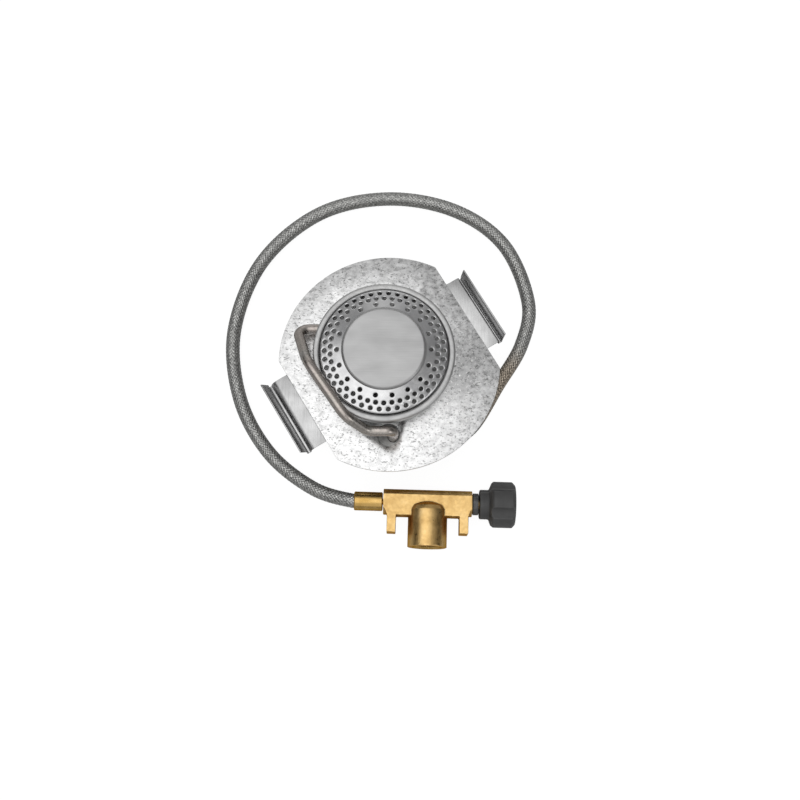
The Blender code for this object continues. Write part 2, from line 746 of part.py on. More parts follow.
def valve_body(parts, cutters, frame):
    """The forged body: barrel, slab with lugs, canister socket, and the bores inside."""
    body = cylinder("valve_body", BARREL_RADIUS, (BODY_START, 0, 0), (BODY_END, 0, 0), sides=40)
    place(body, parts, parent=frame)
    combine(body, slab("body_slab", body_outline(), BODY_HALF + OVERCUT), "UNION", cutters)
    combine(body, slab("body_block", body_block(), BODY_HALF), "INTERSECT", cutters)
    back, mouth = (SOCKET_X, SOCKET_BACK, 0), (SOCKET_X, SOCKET_MOUTH, 0)
    combine(body, cylinder("socket_boss", SOCKET_RADIUS, back, mouth, sides=40), "UNION", cutters)
    start, end = (SOCKET_X, SOCKET_BACK - 0.01, 0), (SOCKET_X, SOCKET_BACK + SOCKET_DOME, 0)
    dome = cylinder("socket_dome", SOCKET_RADIUS, start, end, sides=40, end_radius=SOCKET_DOME_TOP)
    combine(body, dome, "UNION", cutters)
    floor = SOCKET_MOUTH + THREAD_DEPTH
    drills = (
        ("thread_bore", THREAD_RADIUS, (SOCKET_X, SOCKET_MOUTH - OVERCUT, 0), (SOCKET_X, floor, 0)),
        ("filter_bore", FILTER_BORE, (SOCKET_X, floor - OVERCUT, 0), (SOCKET_X, floor + FILTER_DEPTH, 0)),
        ("pin_bore", GAS_BORE, (SOCKET_X, floor, 0), (SOCKET_X, 0, 0)),
        ("spindle_bore", SPINDLE_BORE, (SEAT_X + 2, 0, 0), (BODY_END + OVERCUT, 0, 0)),
        ("gland_bore", GLAND_THREAD + GAP, (GLAND_SOCKET_X, 0, 0), (BODY_END + OVERCUT, 0, 0)),
        ("outlet_bore", OUTLET_BORE, (4, 0, 0), (SEAT_X + 3, 0, 0)),
        ("nipple_bore", NIPPLE_OUTER + GAP, (BODY_START - OVERCUT, 0, 0), (6, 0, 0)),
    )
    for name, radius, start, end in drills:
        combine(body, cylinder(name, radius, start, end, sides=20), "DIFFERENCE", cutters)
    chamfer = cylinder(
        "mouth_chamfer",
        THREAD_RADIUS + 1.5 * MOUTH_CHAMFER - SLIP,
        (SOCKET_X, SOCKET_MOUTH - MOUTH_CHAMFER / 2, 0),
        (SOCKET_X, SOCKET_MOUTH + MOUTH_CHAMFER, 0),
        sides=20,
        end_radius=THREAD_RADIUS - SLIP,
    )
    combine(body, chamfer, "DIFFERENCE", cutters)
    paint(body, BRASS)


def socket_fittings(parts, frame):
    """What sits at the bottom of the canister socket: seal, filter and depressor pin."""
    floor = SOCKET_MOUTH + THREAD_DEPTH
    turn = (math.radians(90), 0, 0)
    seal = turned("canister_seal", ring_profile(SEAL_INNER, SEAL_OUTER, 0.0, SEAL_THICK), sides=24)
    place(seal, parts, (SOCKET_X, floor - SLIP, 0), turn, frame)
    paint(seal, ((0.03, 0.03, 0.03), 0.0, 0.7))
    sleeve = ring_profile(FILTER_INNER, FILTER_OUTER, 0.0, FILTER_THICK)
    mesh_filter = turned("valve_filter", sleeve, sides=20)
    place(mesh_filter, parts, (SOCKET_X, floor + FILTER_DEPTH - GAP, 0), turn, frame)
    paint(mesh_filter, ((0.55, 0.38, 0.20), 1.0, 0.7))
    tip = [(0.0, PIN_LENGTH), (PIN_RADIUS / 2, PIN_LENGTH), (PIN_RADIUS, PIN_LENGTH - 0.4)]
    pin = turned("depressor_pin", tip + [(PIN_RADIUS, 0.0), (0.0, 0.0)], closed=False, sides=12)
    place(pin, parts, (SOCKET_X, floor + 3.4, 0), turn, frame)
    paint(pin, BRASS)


def valve_end_fittings(parts, frame):
    """The swaged sleeve and barbed insert at the valve end of the hose."""
    start = -VALVE_FERRULE_GAP - VALVE_FERRULE_LENGTH
    sleeve = ferrule_profile(VALVE_FERRULE_LENGTH)
    ferrule = along_x("hose_ferrule_valve", sleeve, start, (0, 0), parts, frame)
    paint(ferrule, BRASS)
    insert = ring_profile(NIPPLE_INNER, NIPPLE_OUTER, 0.0, VALVE_NIPPLE_LENGTH)
    nipple = along_x("hose_nipple_valve", insert, VALVE_NIPPLE_START, (0, 0), parts, frame, sides=12)
    paint(nipple, BRASS)


def gland_nut(parts, frame):
    """The black nut that closes the spindle bore; its thread is a plain sleeve."""
    inner = SPINDLE_RADIUS + GAP
    face = BODY_END + GAP
    profile = [(inner, GLAND_END), (GLAND_COLLAR, GLAND_END), (GLAND_COLLAR, face)]
    profile += [(GLAND_THREAD, face), (GLAND_THREAD, GLAND_SOCKET_X + GAP), (inner, GLAND_SOCKET_X + GAP)]
    nut = along_x("gland_nut", profile, 0.0, (0, 0), parts, frame, sides=32)
    paint(nut, ((0.03, 0.03, 0.03), 0.2, 0.45))


def valve_spindle(parts, frame):
    """The needle spindle, with a groove for its o-ring."""
    groove = O_RING_RADIUS - O_RING_SECTION - SLIP
    before, after = O_RING_X - O_RING_SECTION - 2 * SLIP, O_RING_X + O_RING_SECTION + 2 * SLIP
    land, needle = SPINDLE_LAND, SPINDLE_NEEDLE
    profile = [(0.0, SPINDLE_END), (SPINDLE_RADIUS, SPINDLE_END), (SPINDLE_RADIUS, after + 1.2)]
    profile += [(land, after + 1.0), (land, after), (groove, after), (groove, before), (land, before)]
    profile += [(land, before - 1.2), (needle, before - 1.4)]
    profile += [(needle, SPINDLE_TIP + 1.6), (0.0, SPINDLE_TIP)]
    spindle = turned("valve_spindle", profile, closed=False, sides=24)
    place(spindle, parts, rotation=(0, math.radians(90), 0), parent=frame)
    paint(spindle, BRASS)


def spindle_o_ring(parts, frame):
    section = circle((O_RING_RADIUS, O_RING_X), O_RING_SECTION, 10)
    ring = turned("spindle_o_ring", section[::-1], sides=24)
    place(ring, parts, rotation=(0, math.radians(90), 0), parent=frame)
    paint(ring, ((0.02, 0.02, 0.02), 0.0, 0.6))


def valve_knob(parts, cutters, frame):
    """The moulded knob: neck, flared shoulder and a grip with flutes between its lobes."""
    profile = [(0.0, KNOB_END), (KNOB_FACE, KNOB_END)]
    profile += arc((KNOB_FACE, KNOB_END - KNOB_ROUND), KNOB_ROUND, 70, 0, 3)
    profile += [(KNOB_RADIUS, KNOB_SHOULDER_END + 0.8), (KNOB_RADIUS - 0.4, KNOB_SHOULDER_END)]
    profile += [(KNOB_NECK_RADIUS, KNOB_NECK_END), (KNOB_NECK_RADIUS, KNOB_START), (0.0, KNOB_START)]
    knob = turned("valve_knob", profile, closed=False)
    place(knob, parts, rotation=(0, math.radians(90), 0), parent=frame)
    for i in range(KNOB_LOBES):
        angle = math.radians(KNOB_FLUTE_ANGLE) + math.tau * i / KNOB_LOBES
        at = (KNOB_FLUTE_CENTRE * math.cos(angle), KNOB_FLUTE_CENTRE * math.sin(angle))
        start, end = (*at, KNOB_SHOULDER_END - 1.5), (*at, KNOB_END + OVERCUT)
        combine(knob, cylinder(f"knob_flute_{i}", KNOB_FLUTE_RADIUS, start, end), "DIFFERENCE", cutters)
    start, end = (0, 0, KNOB_START - OVERCUT), (0, 0, SPINDLE_END + GAP)
    bore = cylinder("knob_bore", SPINDLE_RADIUS + SLIP, start, end, sides=24)
    combine(knob, bore, "DIFFERENCE", cutters)
    paint(knob, ((0.05, 0.05, 0.05), 0.0, 0.55))


def clip_profile(near, bend, lean):
    """The folded strip: (outward, up) points from its tab under the plate to its raised lip."""
    level = -GAP - CLIP_STRIP / 2
    far = near + CLIP_GROOVE
    floor = -CLIP_DROP
    fold = arc((near - bend, level - bend), bend, 90, 0, 4) + [(near, floor + CLIP_BEND)]
    fold += [(near + CLIP_BEND, floor), (far - CLIP_BEND, floor), (far, floor + CLIP_BEND)]
    return [(-CLIP_TAB, level)] + fold + [(far + 0.1, 0.0), (far + lean, CLIP_RISE)]


def spring_clip(parts, name, outward, edge, near, bend, lean, slide):
    """A clip under one straight edge; its origin is on the line where its tab begins to flex."""
    turn = Matrix.Rotation(math.radians(outward), 3, "Z")
    pivot = turn @ Vector((edge - CLIP_TAB, 0, 0)) + Vector((PLATE_CENTRE_X, 0, PLATE_UNDER))

    def strip(bm):
        rows = []
        for y in (slide - CLIP_LENGTH / 2, slide + CLIP_LENGTH / 2):
            rows.append([bm.verts.new((x + CLIP_TAB, y, z)) for x, z in clip_profile(near, bend, lean)])
        for a, b, c, d in zip(rows[0], rows[0][1:], rows[1][1:], rows[1]):
            bm.faces.new((a, b, c, d))

    clip = mesh_object(name, strip)
    place(clip, parts, pivot, (0, 0, math.radians(outward)))
    solidify = clip.modifiers.new("Strip", "SOLIDIFY")
    solidify.thickness = CLIP_STRIP * MM
    solidify.offset = 0.0
    solidify.use_even_offset = True
    paint(clip, ((0.58, 0.58, 0.58), 1.0, 0.25))


def build():
    clear_scene()
    parts = new_collection("canister_stove")
    cutters = new_collection("cutters", hidden=True)
    mounting_plate(parts)
    burner_bowl(parts)
    flame_ring(parts, cutters)
    burner_cap(parts)
    mixing_tube(parts, cutters)
    bowl_lock_ring(parts)
    jet_holder(parts, cutters)
    jet_nozzle(parts)
    preheat_tube(parts)
    preheat_nuts(parts)
    inlet_connector(parts, cutters)
    burner_end_fittings(parts)
    hose(parts)
    frame = valve_frame(parts)
    valve_body(parts, cutters, frame)
    socket_fittings(parts, frame)
    valve_end_fittings(parts, frame)
    gland_nut(parts, frame)
    valve_spindle(parts, frame)
    spindle_o_ring(parts, frame)
    valve_knob(parts, cutters, frame)
    for shape in CLIP_SHAPES:
        spring_clip(parts, *shape)


build()
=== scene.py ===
"""The looks of the canister stove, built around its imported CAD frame.

Sizes are in millimetres and match the CAD part. +Z is up, the burner's axis is the world Z axis, and +X
points to the knob end of the valve.
"""

import math

import bpy
import numpy as np
from mathutils import Matrix, Vector


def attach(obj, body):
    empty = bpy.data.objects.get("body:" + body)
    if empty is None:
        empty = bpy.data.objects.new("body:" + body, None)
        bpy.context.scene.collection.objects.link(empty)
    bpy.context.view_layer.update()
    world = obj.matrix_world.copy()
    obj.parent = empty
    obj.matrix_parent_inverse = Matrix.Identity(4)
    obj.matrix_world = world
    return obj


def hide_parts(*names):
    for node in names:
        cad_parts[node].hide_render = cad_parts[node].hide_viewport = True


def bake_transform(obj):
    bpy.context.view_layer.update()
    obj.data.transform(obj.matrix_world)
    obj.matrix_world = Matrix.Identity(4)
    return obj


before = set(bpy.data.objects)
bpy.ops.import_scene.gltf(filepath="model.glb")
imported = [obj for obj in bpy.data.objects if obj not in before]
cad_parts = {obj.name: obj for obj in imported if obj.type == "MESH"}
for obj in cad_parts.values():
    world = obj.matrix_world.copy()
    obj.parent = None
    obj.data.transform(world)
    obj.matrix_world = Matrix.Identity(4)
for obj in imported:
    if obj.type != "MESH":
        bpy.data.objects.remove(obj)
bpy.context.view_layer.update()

MM = 0.001
X_AXIS = Matrix.Rotation(math.radians(90), 4, "Y")  # lays a turned piece along +X
FRONT_AXIS = Matrix.Rotation(math.radians(90), 4, "X")  # lays a turned piece along -Y

# Mounting plate
PLATE_UNDER = 22.0
PLATE_THICK = 0.8
PLATE_TOP = PLATE_UNDER + PLATE_THICK
PLATE_RADIUS = 45.95
PLATE_CENTRE_X = 2.0
FLAT_RIGHT = 38.05
FLAT_LEFT = 39.15
FLAT_ANGLE = 31.0
NECK_HOLE_RADIUS = 6.0
RISER_HOLE_CENTRE = (1.7, -30.8)
RISER_HOLE_RADIUS = 4.7
FEED_HOLE_RADIUS = 2.7

# Burner head
RIM_RADIUS = 27.4
RIM_Z = 38.0
RIM_BEAD_WIDTH = 2.6
RIM_BEAD_HEIGHT = 2.2
BOWL_OUTSIDE = ((28.3, 37.4), (28.2, 32.6), (26.4, 31.0), (17.0, 30.2), (10.6, 28.6), (8.7, 25.6))
BOWL_INSIDE = ((8.1, 25.8), (10.2, 29.1), (16.8, 30.8), (26.1, 31.6), (27.5, 32.9), (27.5, 36.6))
CONE_FOOT = (25.3, 40.0)
CONE_TOP = (15.7, 43.2)
CONE_WALL = 0.45
CONE_SKIRT = 37.6  # height of the bottom of the cone's turned-down edge
CONE_STEEPNESS = (CONE_TOP[1] - CONE_FOOT[1]) / (CONE_FOOT[0] - CONE_TOP[0])
HOLE_RADIUS = 0.85
HOLE_FLARE = 0.35
HOLE_ROWS = ((24.1, 42, 0.0), (21.7, 42, 0.5), (19.0, 18, 0.0))  # radius, count, stagger in holes
CAP_RADIUS = 17.0
CAP_TOP = 44.95
CAP_WALL = 0.7
CAP_EDGE = 1.4
NECK_OUTER = 5.6
NECK_INNER = 4.6
MIXING_TOP = 26.5
MIXING_BOTTOM = 8.6
AIR_HOLE_RADIUS = 2.1
AIR_HOLE_Z = 14.6
FLANGE_RADIUS = 9.0
FLANGE_THICK = 1.0

# Gas path under the plate
HOLDER_RADIUS = 7.5
HOLDER_HEIGHT = 7.0
SPIGOT_RADIUS = 4.2
SPIGOT_TOP = 10.5
JET_TIP_Z = 14.5
TUBE_RADIUS = 2.1
FEED_Z = 4.0
FEED_CORNER = (-17.0, 12.8)
FEED_BOSS_END = 10.0
RISER = (3.6, -31.4)
TUBE_CORNERS = (  # position, bend radius
    ((*FEED_CORNER, FEED_Z), 4.5),
    ((*FEED_CORNER, 27.5), 4.0),
    ((-36.2, FEED_CORNER[1], 27.5), 4.2),
    ((-30.8, -4.4, 41.8), 12.0),
    ((-15.2, -27.2, 42.2), 8.0),
    ((-6.6, RISER[1], 33.6), 6.0),
    ((*RISER, 33.6), 3.0),
)
TUBE_END_Z = 13.0
FEED_BOSS_RADIUS = 3.55
JET_NUT_CORNER = 3.75
JET_NUT_LENGTH = 4.0
INLET_NUT_CORNER = 7.85
INLET_NUT_LENGTH = 5.1
INLET_RADIUS = 4.6
INLET_BOTTOM = 4.6
INLET_TOP = 16.0
INLET_PORT_Z = 9.0
INLET_PORT_RADIUS = 3.3
INLET_PORT_END = 12.2
NUT_BORE = 2.3
GAP = 0.3

# Hose: its route, and where it bends when the valve is moved
REST_Z = 3.2
HOSE_START_X = 12.9
HOSE_STRAIGHT_X = 23.8
HOSE_ROUTE = (
    (36.5, -24.6, 8.0),
    (48.3, -5.6, 5.2),
    (59.2, 13.1, 3.4),
    (62.6, 33.0, REST_Z),
    (52.2, 59.6, REST_Z),
    (30.0, 75.9, REST_Z),
    (0.0, 81.2, REST_Z),
    (-30.0, 73.8, REST_Z),
    (-54.5, 51.4, REST_Z),
    (-65.8, 20.0, REST_Z),
    (-62.6, -10.2, REST_Z),
    (-49.6, -34.2, 3.5),
    (-30.5, -49.9, 5.4),
)
SWING_POINT = (0.0, 81.2, REST_Z)
LIFT_POINT = (-65.8, 20.0, REST_Z)
CORE_RADIUS = 2.62
BRAID_RADIUS = 2.86
BRAID_WAVE = 0.1
BRAID_THICK = 0.12
BRAID_WIDTH = 1.02
BRAID_STRANDS = 12  # in each direction
BRAID_PITCH = 19.5
FERRULE_RADIUS = 3.9
FERRULE_BORE = 3.4

# Valve, along its own x axis from the hose end of the body
VALVE_ORIGIN = (0.0, -56.4, 9.6)
VALVE_YAW = -1.7
BODY_START = -0.5
BODY_END = 36.2
BARREL_RADIUS = 5.35
BODY_HALF = 4.5  # half the distance between the body's flat top and bottom
SLAB_FRONT = -5.7
LUG_FRONT = -12.8
LUG_WIDTH = 3.7
LUG_LEFT = 1.2
LUG_RIGHT = 31.0
SOCKET_X = 18.0
SOCKET_RADIUS = 8.1
SOCKET_MOUTH = -18.4
SOCKET_BACK = -3.2
SOCKET_DOME = 3.4
THREAD_RADIUS = 5.55
THREAD_DEPTH = 10.4
THREAD_PITCH = 0.907
VALVE_PORT_RADIUS = 2.6
GAS_BORE = 1.55
GLAND_SOCKET_X = 30.0
GLAND_BORE = 3.9
GLAND_COLLAR = 4.5
GLAND_END = 38.8
KNOB_START = 39.2
KNOB_NECK_RADIUS = 6.1
KNOB_NECK_END = 43.1
KNOB_RADIUS = 9.6
KNOB_SHOULDER_END = 44.1
KNOB_END = 53.9
KNOB_LOBES = 5
KNOB_FLUTE_ANGLE = 136.3
KNOB_FLUTE_RADIUS = 3.4
KNOB_FLUTE_CENTRE = 11.6

# Spring clips
CLIP_LENGTH = 32.7
CLIP_STRIP = 0.5
CLIP_TAB = 7.0
CLIP_DROP = 4.0
CLIP_RISE = 6.15
CLIP_GROOVE = 1.5  # between the middles of the groove's two walls
CLIP_SHAPES = (  # side, direction, plate edge, distance to the groove, radius into it, lean, slide
    ("right", FLAT_ANGLE, FLAT_RIGHT, 6.1, 0.8, 0.8, 0.7),
    ("left", FLAT_ANGLE + 180, FLAT_LEFT, 7.4, 2.7, 2.6, -1.2),
)

# Camera
TARGET = (6.4, -17.85, 30.0)
CAMERA_DISTANCE = 450.0
CAMERA_ELEVATION = 76.7
FOCAL_LENGTH = 50.0


# ---------------------------------------------------------------- mesh helpers


def piece(name, vertices, faces, matrix=Matrix(), sharp=35):
    """A smooth-shaded mesh object; its vertices and the matrix are in millimetres."""
    mesh = bpy.data.meshes.new(name)
    mesh.from_pydata([tuple(v) for v in vertices], [], faces)
    mesh.transform(Matrix.Scale(MM, 4) @ matrix)
    mesh.update()
    obj = bpy.data.objects.new(name, mesh)
    bpy.context.scene.collection.objects.link(obj)
    shade(obj, sharp)
    return obj


def shade(obj, sharp=35):
    obj.data.shade_smooth()
    obj.data.set_sharp_from_angle(angle=math.radians(sharp))


def settle(obj, sharp=35):
    """Applies every modifier of the object."""
    bpy.context.view_layer.update()
    evaluated = obj.evaluated_get(bpy.context.evaluated_depsgraph_get())
    obj.data = bpy.data.meshes.new_from_object(evaluated)
    obj.modifiers.clear()
    shade(obj, sharp)
    return obj


def carve(obj, tool, operation="DIFFERENCE"):
    """Applies a Boolean at once and removes its tool."""
    boolean = obj.modifiers.new("carve", "BOOLEAN")
    boolean.operation = operation
    boolean.solver = "EXACT"
    boolean.object = tool
    settle(obj)
    bpy.data.objects.remove(tool, do_unlink=True)
    return obj


def soften(obj, width, segments=2, angle=40):
    """Rounds the sharp edges by a width in millimetres."""
    bevel = obj.modifiers.new("edges", "BEVEL")
    bevel.width = width * MM
    bevel.segments = segments
    bevel.limit_method = "ANGLE"
    bevel.angle_limit = math.radians(angle)
    bevel.use_clamp_overlap = True
    bevel.harden_normals = False
    return settle(obj)


def cast(obj, voxel, passes=4):
    """Turns joined solids into one skin with rounded edges, as a forging has."""
    remesh = obj.modifiers.new("skin", "REMESH")
    remesh.mode = "VOXEL"
    remesh.voxel_size = voxel * MM
    relax = obj.modifiers.new("relax", "SMOOTH")
    relax.iterations = passes
    relax.factor = 0.5
    return settle(obj, sharp=80)


def rounded(points, radius, steps=4, closed=True):
    """The polygon with its corners rounded, as far as the neighbouring edges allow."""
    result = []
    for i, point in enumerate(points):
        corner = Vector(point)
        before = Vector(points[i - 1]) - corner
        after = Vector(points[(i + 1) % len(points)]) - corner
        inside = closed or 0 < i < len(points) - 1
        turn = math.pi - before.angle(after, 0.0) if inside else 0.0
        if turn < math.radians(8):
            result.append(tuple(corner))
            continue
        trim = min(radius * math.tan(turn / 2), 0.45 * before.length, 0.45 * after.length)
        start = corner + before.normalized() * trim
        end = corner + after.normalized() * trim
        for k in range(steps + 1):
            t = k / steps
            result.append(tuple(start * (1 - t) ** 2 + corner * 2 * t * (1 - t) + end * t * t))
    return result


def arc(centre, radius, start, end, steps):
    """Points on an arc in a plane, with angles in degrees."""
    angles = [math.radians(start + (end - start) * i / steps) for i in range(steps + 1)]
    return [(centre[0] + radius * math.cos(a), centre[1] + radius * math.sin(a)) for a in angles]


def lathe(profile, steps=96):
    """A (radius, height) profile, outer side downwards, swept round Z; it closes on itself or on the axis."""
    vertices, rings = [], []
    for radius, height in profile:
        if radius < 1e-6:
            rings.append([len(vertices)] * steps)
            vertices.append((0.0, 0.0, height))
            continue
        rings.append([len(vertices) + i for i in range(steps)])
        for i in range(steps):
            angle = math.tau * i / steps
            vertices.append((radius * math.cos(angle), radius * math.sin(angle), height))
    pairs = list(zip(rings, rings[1:]))
    if profile[0][0] > 1e-6:
        pairs.append((rings[-1], rings[0]))
    faces = []
    for upper, lower in pairs:
        for i in range(steps):
            j = (i + 1) % steps
            faces.append(tuple(dict.fromkeys((upper[i], lower[i], lower[j], upper[j]))))
    return vertices, faces


def turned(name, profile, steps=96, matrix=Matrix(), edge=0.0, sharp=35):
    """A turned piece, with its profile's corners rounded by an edge radius."""
    if edge:
        profile = rounded(profile, edge, 3, closed=profile[0][0] > 1e-6)
    return piece(name, *lathe(profile, steps), matrix, sharp)


def sleeve(inner, outer, bottom, top):
    return [(outer, top), (outer, bottom), (inner, bottom), (inner, top)]


def rod(name, radius, start, end, steps=32, end_radius=None):
    """A round bar or cone between two points."""
    start, line = Vector(start), Vector(end) - Vector(start)
    turn = line.to_track_quat("Z", "Y").to_matrix().to_4x4()
    far = radius if end_radius is None else end_radius
    profile = [(0.0, line.length), (far, line.length), (radius, 0.0), (0.0, 0.0)]
    return turned(name, profile, steps, Matrix.Translation(start) @ turn)


def prism(name, outline, bottom, top, matrix=Matrix()):
    """A closed prism over an anticlockwise outline."""
    count = len(outline)
    vertices = [(x, y, bottom) for x, y in outline] + [(x, y, top) for x, y in outline]
    faces = [tuple(reversed(range(count))), tuple(range(count, 2 * count))]
    for i in range(count):
        j = (i + 1) % count
        faces.append((i, j, j + count, i + count))
    return piece(name, vertices, faces, matrix)


def along(path):
    """Distances, positions, sides and ups along a path, carried round its bends without twist."""
    points = np.array([tuple(p) for p in path], float)
    lengths = np.concatenate([[0], np.cumsum(np.linalg.norm(np.diff(points, axis=0), axis=1))])
    tangents = np.gradient(points, lengths, axis=0)
    tangents /= np.linalg.norm(tangents, axis=1)[:, None]
    sides = np.zeros_like(points)
    side = np.cross(tangents[0], (0.3, 0.2, 1.0))
    for i, tangent in enumerate(tangents):
        side = side - tangent * (side @ tangent)
        side = side / np.linalg.norm(side)
        sides[i] = side
    return lengths, points, sides, np.cross(tangents, sides)


def filleted(corners, start, end, step=6):
    """A path from start to end through rounded corners, each (position, radius)."""
    knots = [Vector(start)] + [Vector(p) for p, _ in corners] + [Vector(end)]
    path = [knots[0]]
    for before, corner, after, (_, radius) in zip(knots, knots[1:], knots[2:], corners):
        into = (corner - before).normalized()
        out = (after - corner).normalized()
        bend = into.angle(out)
        steps = max(2, round(math.degrees(bend) / step))
        normal = (out - into * into.dot(out)).normalized()
        centre = corner - into * radius * math.tan(bend / 2) + normal * radius
        for i in range(steps + 1):
            angle = bend * i / steps
            path.append(centre - normal * radius * math.cos(angle) + into * radius * math.sin(angle))
    return path + [knots[-1]]


def valve_matrix():
    turn = Matrix.Rotation(math.radians(VALVE_YAW), 4, "Z")
    return Matrix.Translation(VALVE_ORIGIN) @ turn


VALVE = valve_matrix()


def finish_piece(obj, body, material, *nodes):
    """Paints the piece, puts it on its body and lets it stand for CAD nodes."""
    obj.data.materials.clear()
    obj.data.materials.append(material)
    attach(obj, body)
    if nodes:
        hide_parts(*nodes)
    return obj


# ---------------------------------------------------------------- materials


class Look:
    """A Principled material under construction, with short calls for the nodes behind it."""

    def __init__(self, name, colour, metallic, roughness):
        self.material = bpy.data.materials.new(name)
        self.material.use_nodes = True
        self.tree = self.material.node_tree
        self.shader = self.tree.nodes["Principled BSDF"]
        self.shader.inputs["Base Color"].default_value = (*colour, 1.0)
        self.shader.inputs["Metallic"].default_value = metallic
        self.shader.inputs["Roughness"].default_value = roughness
        self.place = self.node("ShaderNodeTexCoord").outputs["Object"]
        self.normal = None

    def node(self, kind, **settings):
        made = self.tree.nodes.new(kind)
        for key, value in settings.items():
            setattr(made, key, value)
        return made

    def feed(self, value, socket):
        if isinstance(value, bpy.types.NodeSocket):
            self.tree.links.new(value, socket)
        else:
            socket.default_value = value

    def scaled(self, size, stretch):
        """Coordinates in units of a feature size in millimetres, stretched along the axes."""
        scale = self.node("ShaderNodeVectorMath", operation="MULTIPLY")
        self.feed(self.place, scale.inputs[0])
        scale.inputs[1].default_value = [1.0 / (size * MM * s) for s in stretch]
        return scale.outputs[0]

    def noise(self, size, detail=2.0, stretch=(1, 1, 1), roughness=0.5):
        made = self.node("ShaderNodeTexNoise")
        self.feed(self.scaled(size, stretch), made.inputs["Vector"])
        made.inputs["Scale"].default_value = 1.0
        made.inputs["Detail"].default_value = detail
        made.inputs["Roughness"].default_value = roughness
        return made.outputs["Fac"]

    def cells(self, size, output="Distance", stretch=(1, 1, 1), feature="F1"):
        made = self.node("ShaderNodeTexVoronoi", feature=feature)
        self.feed(self.scaled(size, stretch), made.inputs["Vector"])
        made.inputs["Scale"].default_value = 1.0
        return made.outputs[output]

    def ramp(self, value, *stops):
        """Maps a 0-1 value through (position, grey or colour) stops."""
        made = self.node("ShaderNodeValToRGB")
        elements = made.color_ramp.elements
        while len(elements) < len(stops):
            elements.new(0.5)
        for element, (position, colour) in zip(elements, stops):
            element.position = position
            grey = isinstance(colour, (int, float))
            element.color = (colour, colour, colour, 1.0) if grey else (*colour, 1.0)
        self.feed(value, made.inputs["Fac"])
        return made.outputs["Color"]

    def mix(self, share, first, second, blend="MIX"):
        made = self.node("ShaderNodeMix", data_type="RGBA", blend_type=blend)
        self.feed(share, made.inputs[0])
        for value, socket in ((first, made.inputs[6]), (second, made.inputs[7])):
            self.feed((*value, 1.0) if isinstance(value, tuple) else value, socket)
        return made.outputs[2]

    def math(self, operation, first, second=0.0):
        made = self.node("ShaderNodeMath", operation=operation)
        self.feed(first, made.inputs[0])
        self.feed(second, made.inputs[1])
        return made.outputs[0]

    def hollows(self, reach):
        """1 on open surfaces, falling towards 0 in corners narrower than the reach."""
        made = self.node("ShaderNodeAmbientOcclusion", samples=6, only_local=True)
        made.inputs["Distance"].default_value = reach * MM
        return made.outputs["AO"]

    def edges(self):
        """About 0.5 on flat surfaces and more on convex edges."""
        return self.node("ShaderNodeNewGeometry").outputs["Pointiness"]

    def near(self, centre, inner, outer):
        """0 within a distance of a point in millimetres, rising to 1 at a further one."""
        gap = self.node("ShaderNodeVectorMath", operation="DISTANCE")
        self.feed(self.place, gap.inputs[0])
        gap.inputs[1].default_value = [c * MM for c in centre]
        made = self.node("ShaderNodeMapRange", interpolation_type="SMOOTHSTEP")
        self.feed(gap.outputs["Value"], made.inputs["Value"])
        made.inputs["From Min"].default_value = inner * MM
        made.inputs["From Max"].default_value = outer * MM
        return made.outputs["Result"]

    def colour(self, value):
        self.feed((*value, 1.0) if isinstance(value, tuple) else value, self.shader.inputs["Base Color"])

    def edge_tint(self, value):
        """The colour that a metal turns to at grazing angles."""
        self.shader.inputs["Specular Tint"].default_value = (*value, 1.0)

    def rough(self, value):
        self.feed(value, self.shader.inputs["Roughness"])

    def bump(self, height, depth, strength=1.0):
        """Adds relief of a depth in millimetres on top of any earlier relief."""
        made = self.node("ShaderNodeBump")
        made.inputs["Strength"].default_value = strength
        made.inputs["Distance"].default_value = depth * MM
        self.feed(height, made.inputs["Height"])
        if self.normal:
            self.feed(self.normal, made.inputs["Normal"])
        self.normal = made.outputs["Normal"]
        self.feed(self.normal, self.shader.inputs["Normal"])

    def uneven_gloss(self, size, detail, low, high):
        """Roughness that wanders between two values over a feature size in millimetres."""
        self.rough(self.ramp(self.noise(size, detail), (0.3, low), (0.7, high)))

    def grain(self, size, detail, depth, strength):
        """Relief of a feature size and a depth, both in millimetres."""
        self.bump(self.noise(size, detail), depth, strength)


def spangled_zinc():
    """Hot-dipped coat: soft crystals of unequal brightness, light and dark flecks, and a patch of painted
    shade beside the burner head.
    """
    look = Look("spangled_zinc", (0.7, 0.7, 0.7), 1.0, 0.3)
    blotches = look.noise(2.1, 3.0, stretch=(1.2, 0.9, 1.0))
    tone = look.ramp(blotches, (0.3, 0.58), (0.47, 0.78), (0.6, 0.9), (0.75, 0.96))
    crystals = look.ramp(look.cells(1.9, "Color", stretch=(1.3, 0.9, 1.0)), (0.1, 0.8), (0.9, 1.0))
    pits = look.ramp(look.noise(0.8, 3.0, stretch=(1.2, 0.8, 1.0)), (0.34, 0.42), (0.43, 1.0))
    base = look.mix(1.0, look.mix(1.0, tone, crystals, "MULTIPLY"), pits, "MULTIPLY")
    # Painted shade: a soft darker spot on the plate beside the burner head.
    dull = look.ramp(look.near((28.0, -2.0, PLATE_TOP), 6.0, 20.0), (0.0, 0.66), (1.0, 1.0))
    base = look.mix(1.0, base, dull, "MULTIPLY")
    flecks = look.ramp(look.noise(0.95, 2.0, stretch=(0.9, 1.3, 1.0)), (0.6, 0.0), (0.7, 0.8))
    look.colour(look.mix(flecks, base, (0.9, 0.9, 0.88)))
    look.rough(look.ramp(blotches, (0.3, 0.24), (0.7, 0.38)))
    look.grain(1.3, 2.0, 0.07, 0.7)
    look.bump(look.cells(1.9, "Distance", stretch=(1.3, 0.9, 1.0)), 0.03, 0.5)
    return look.material


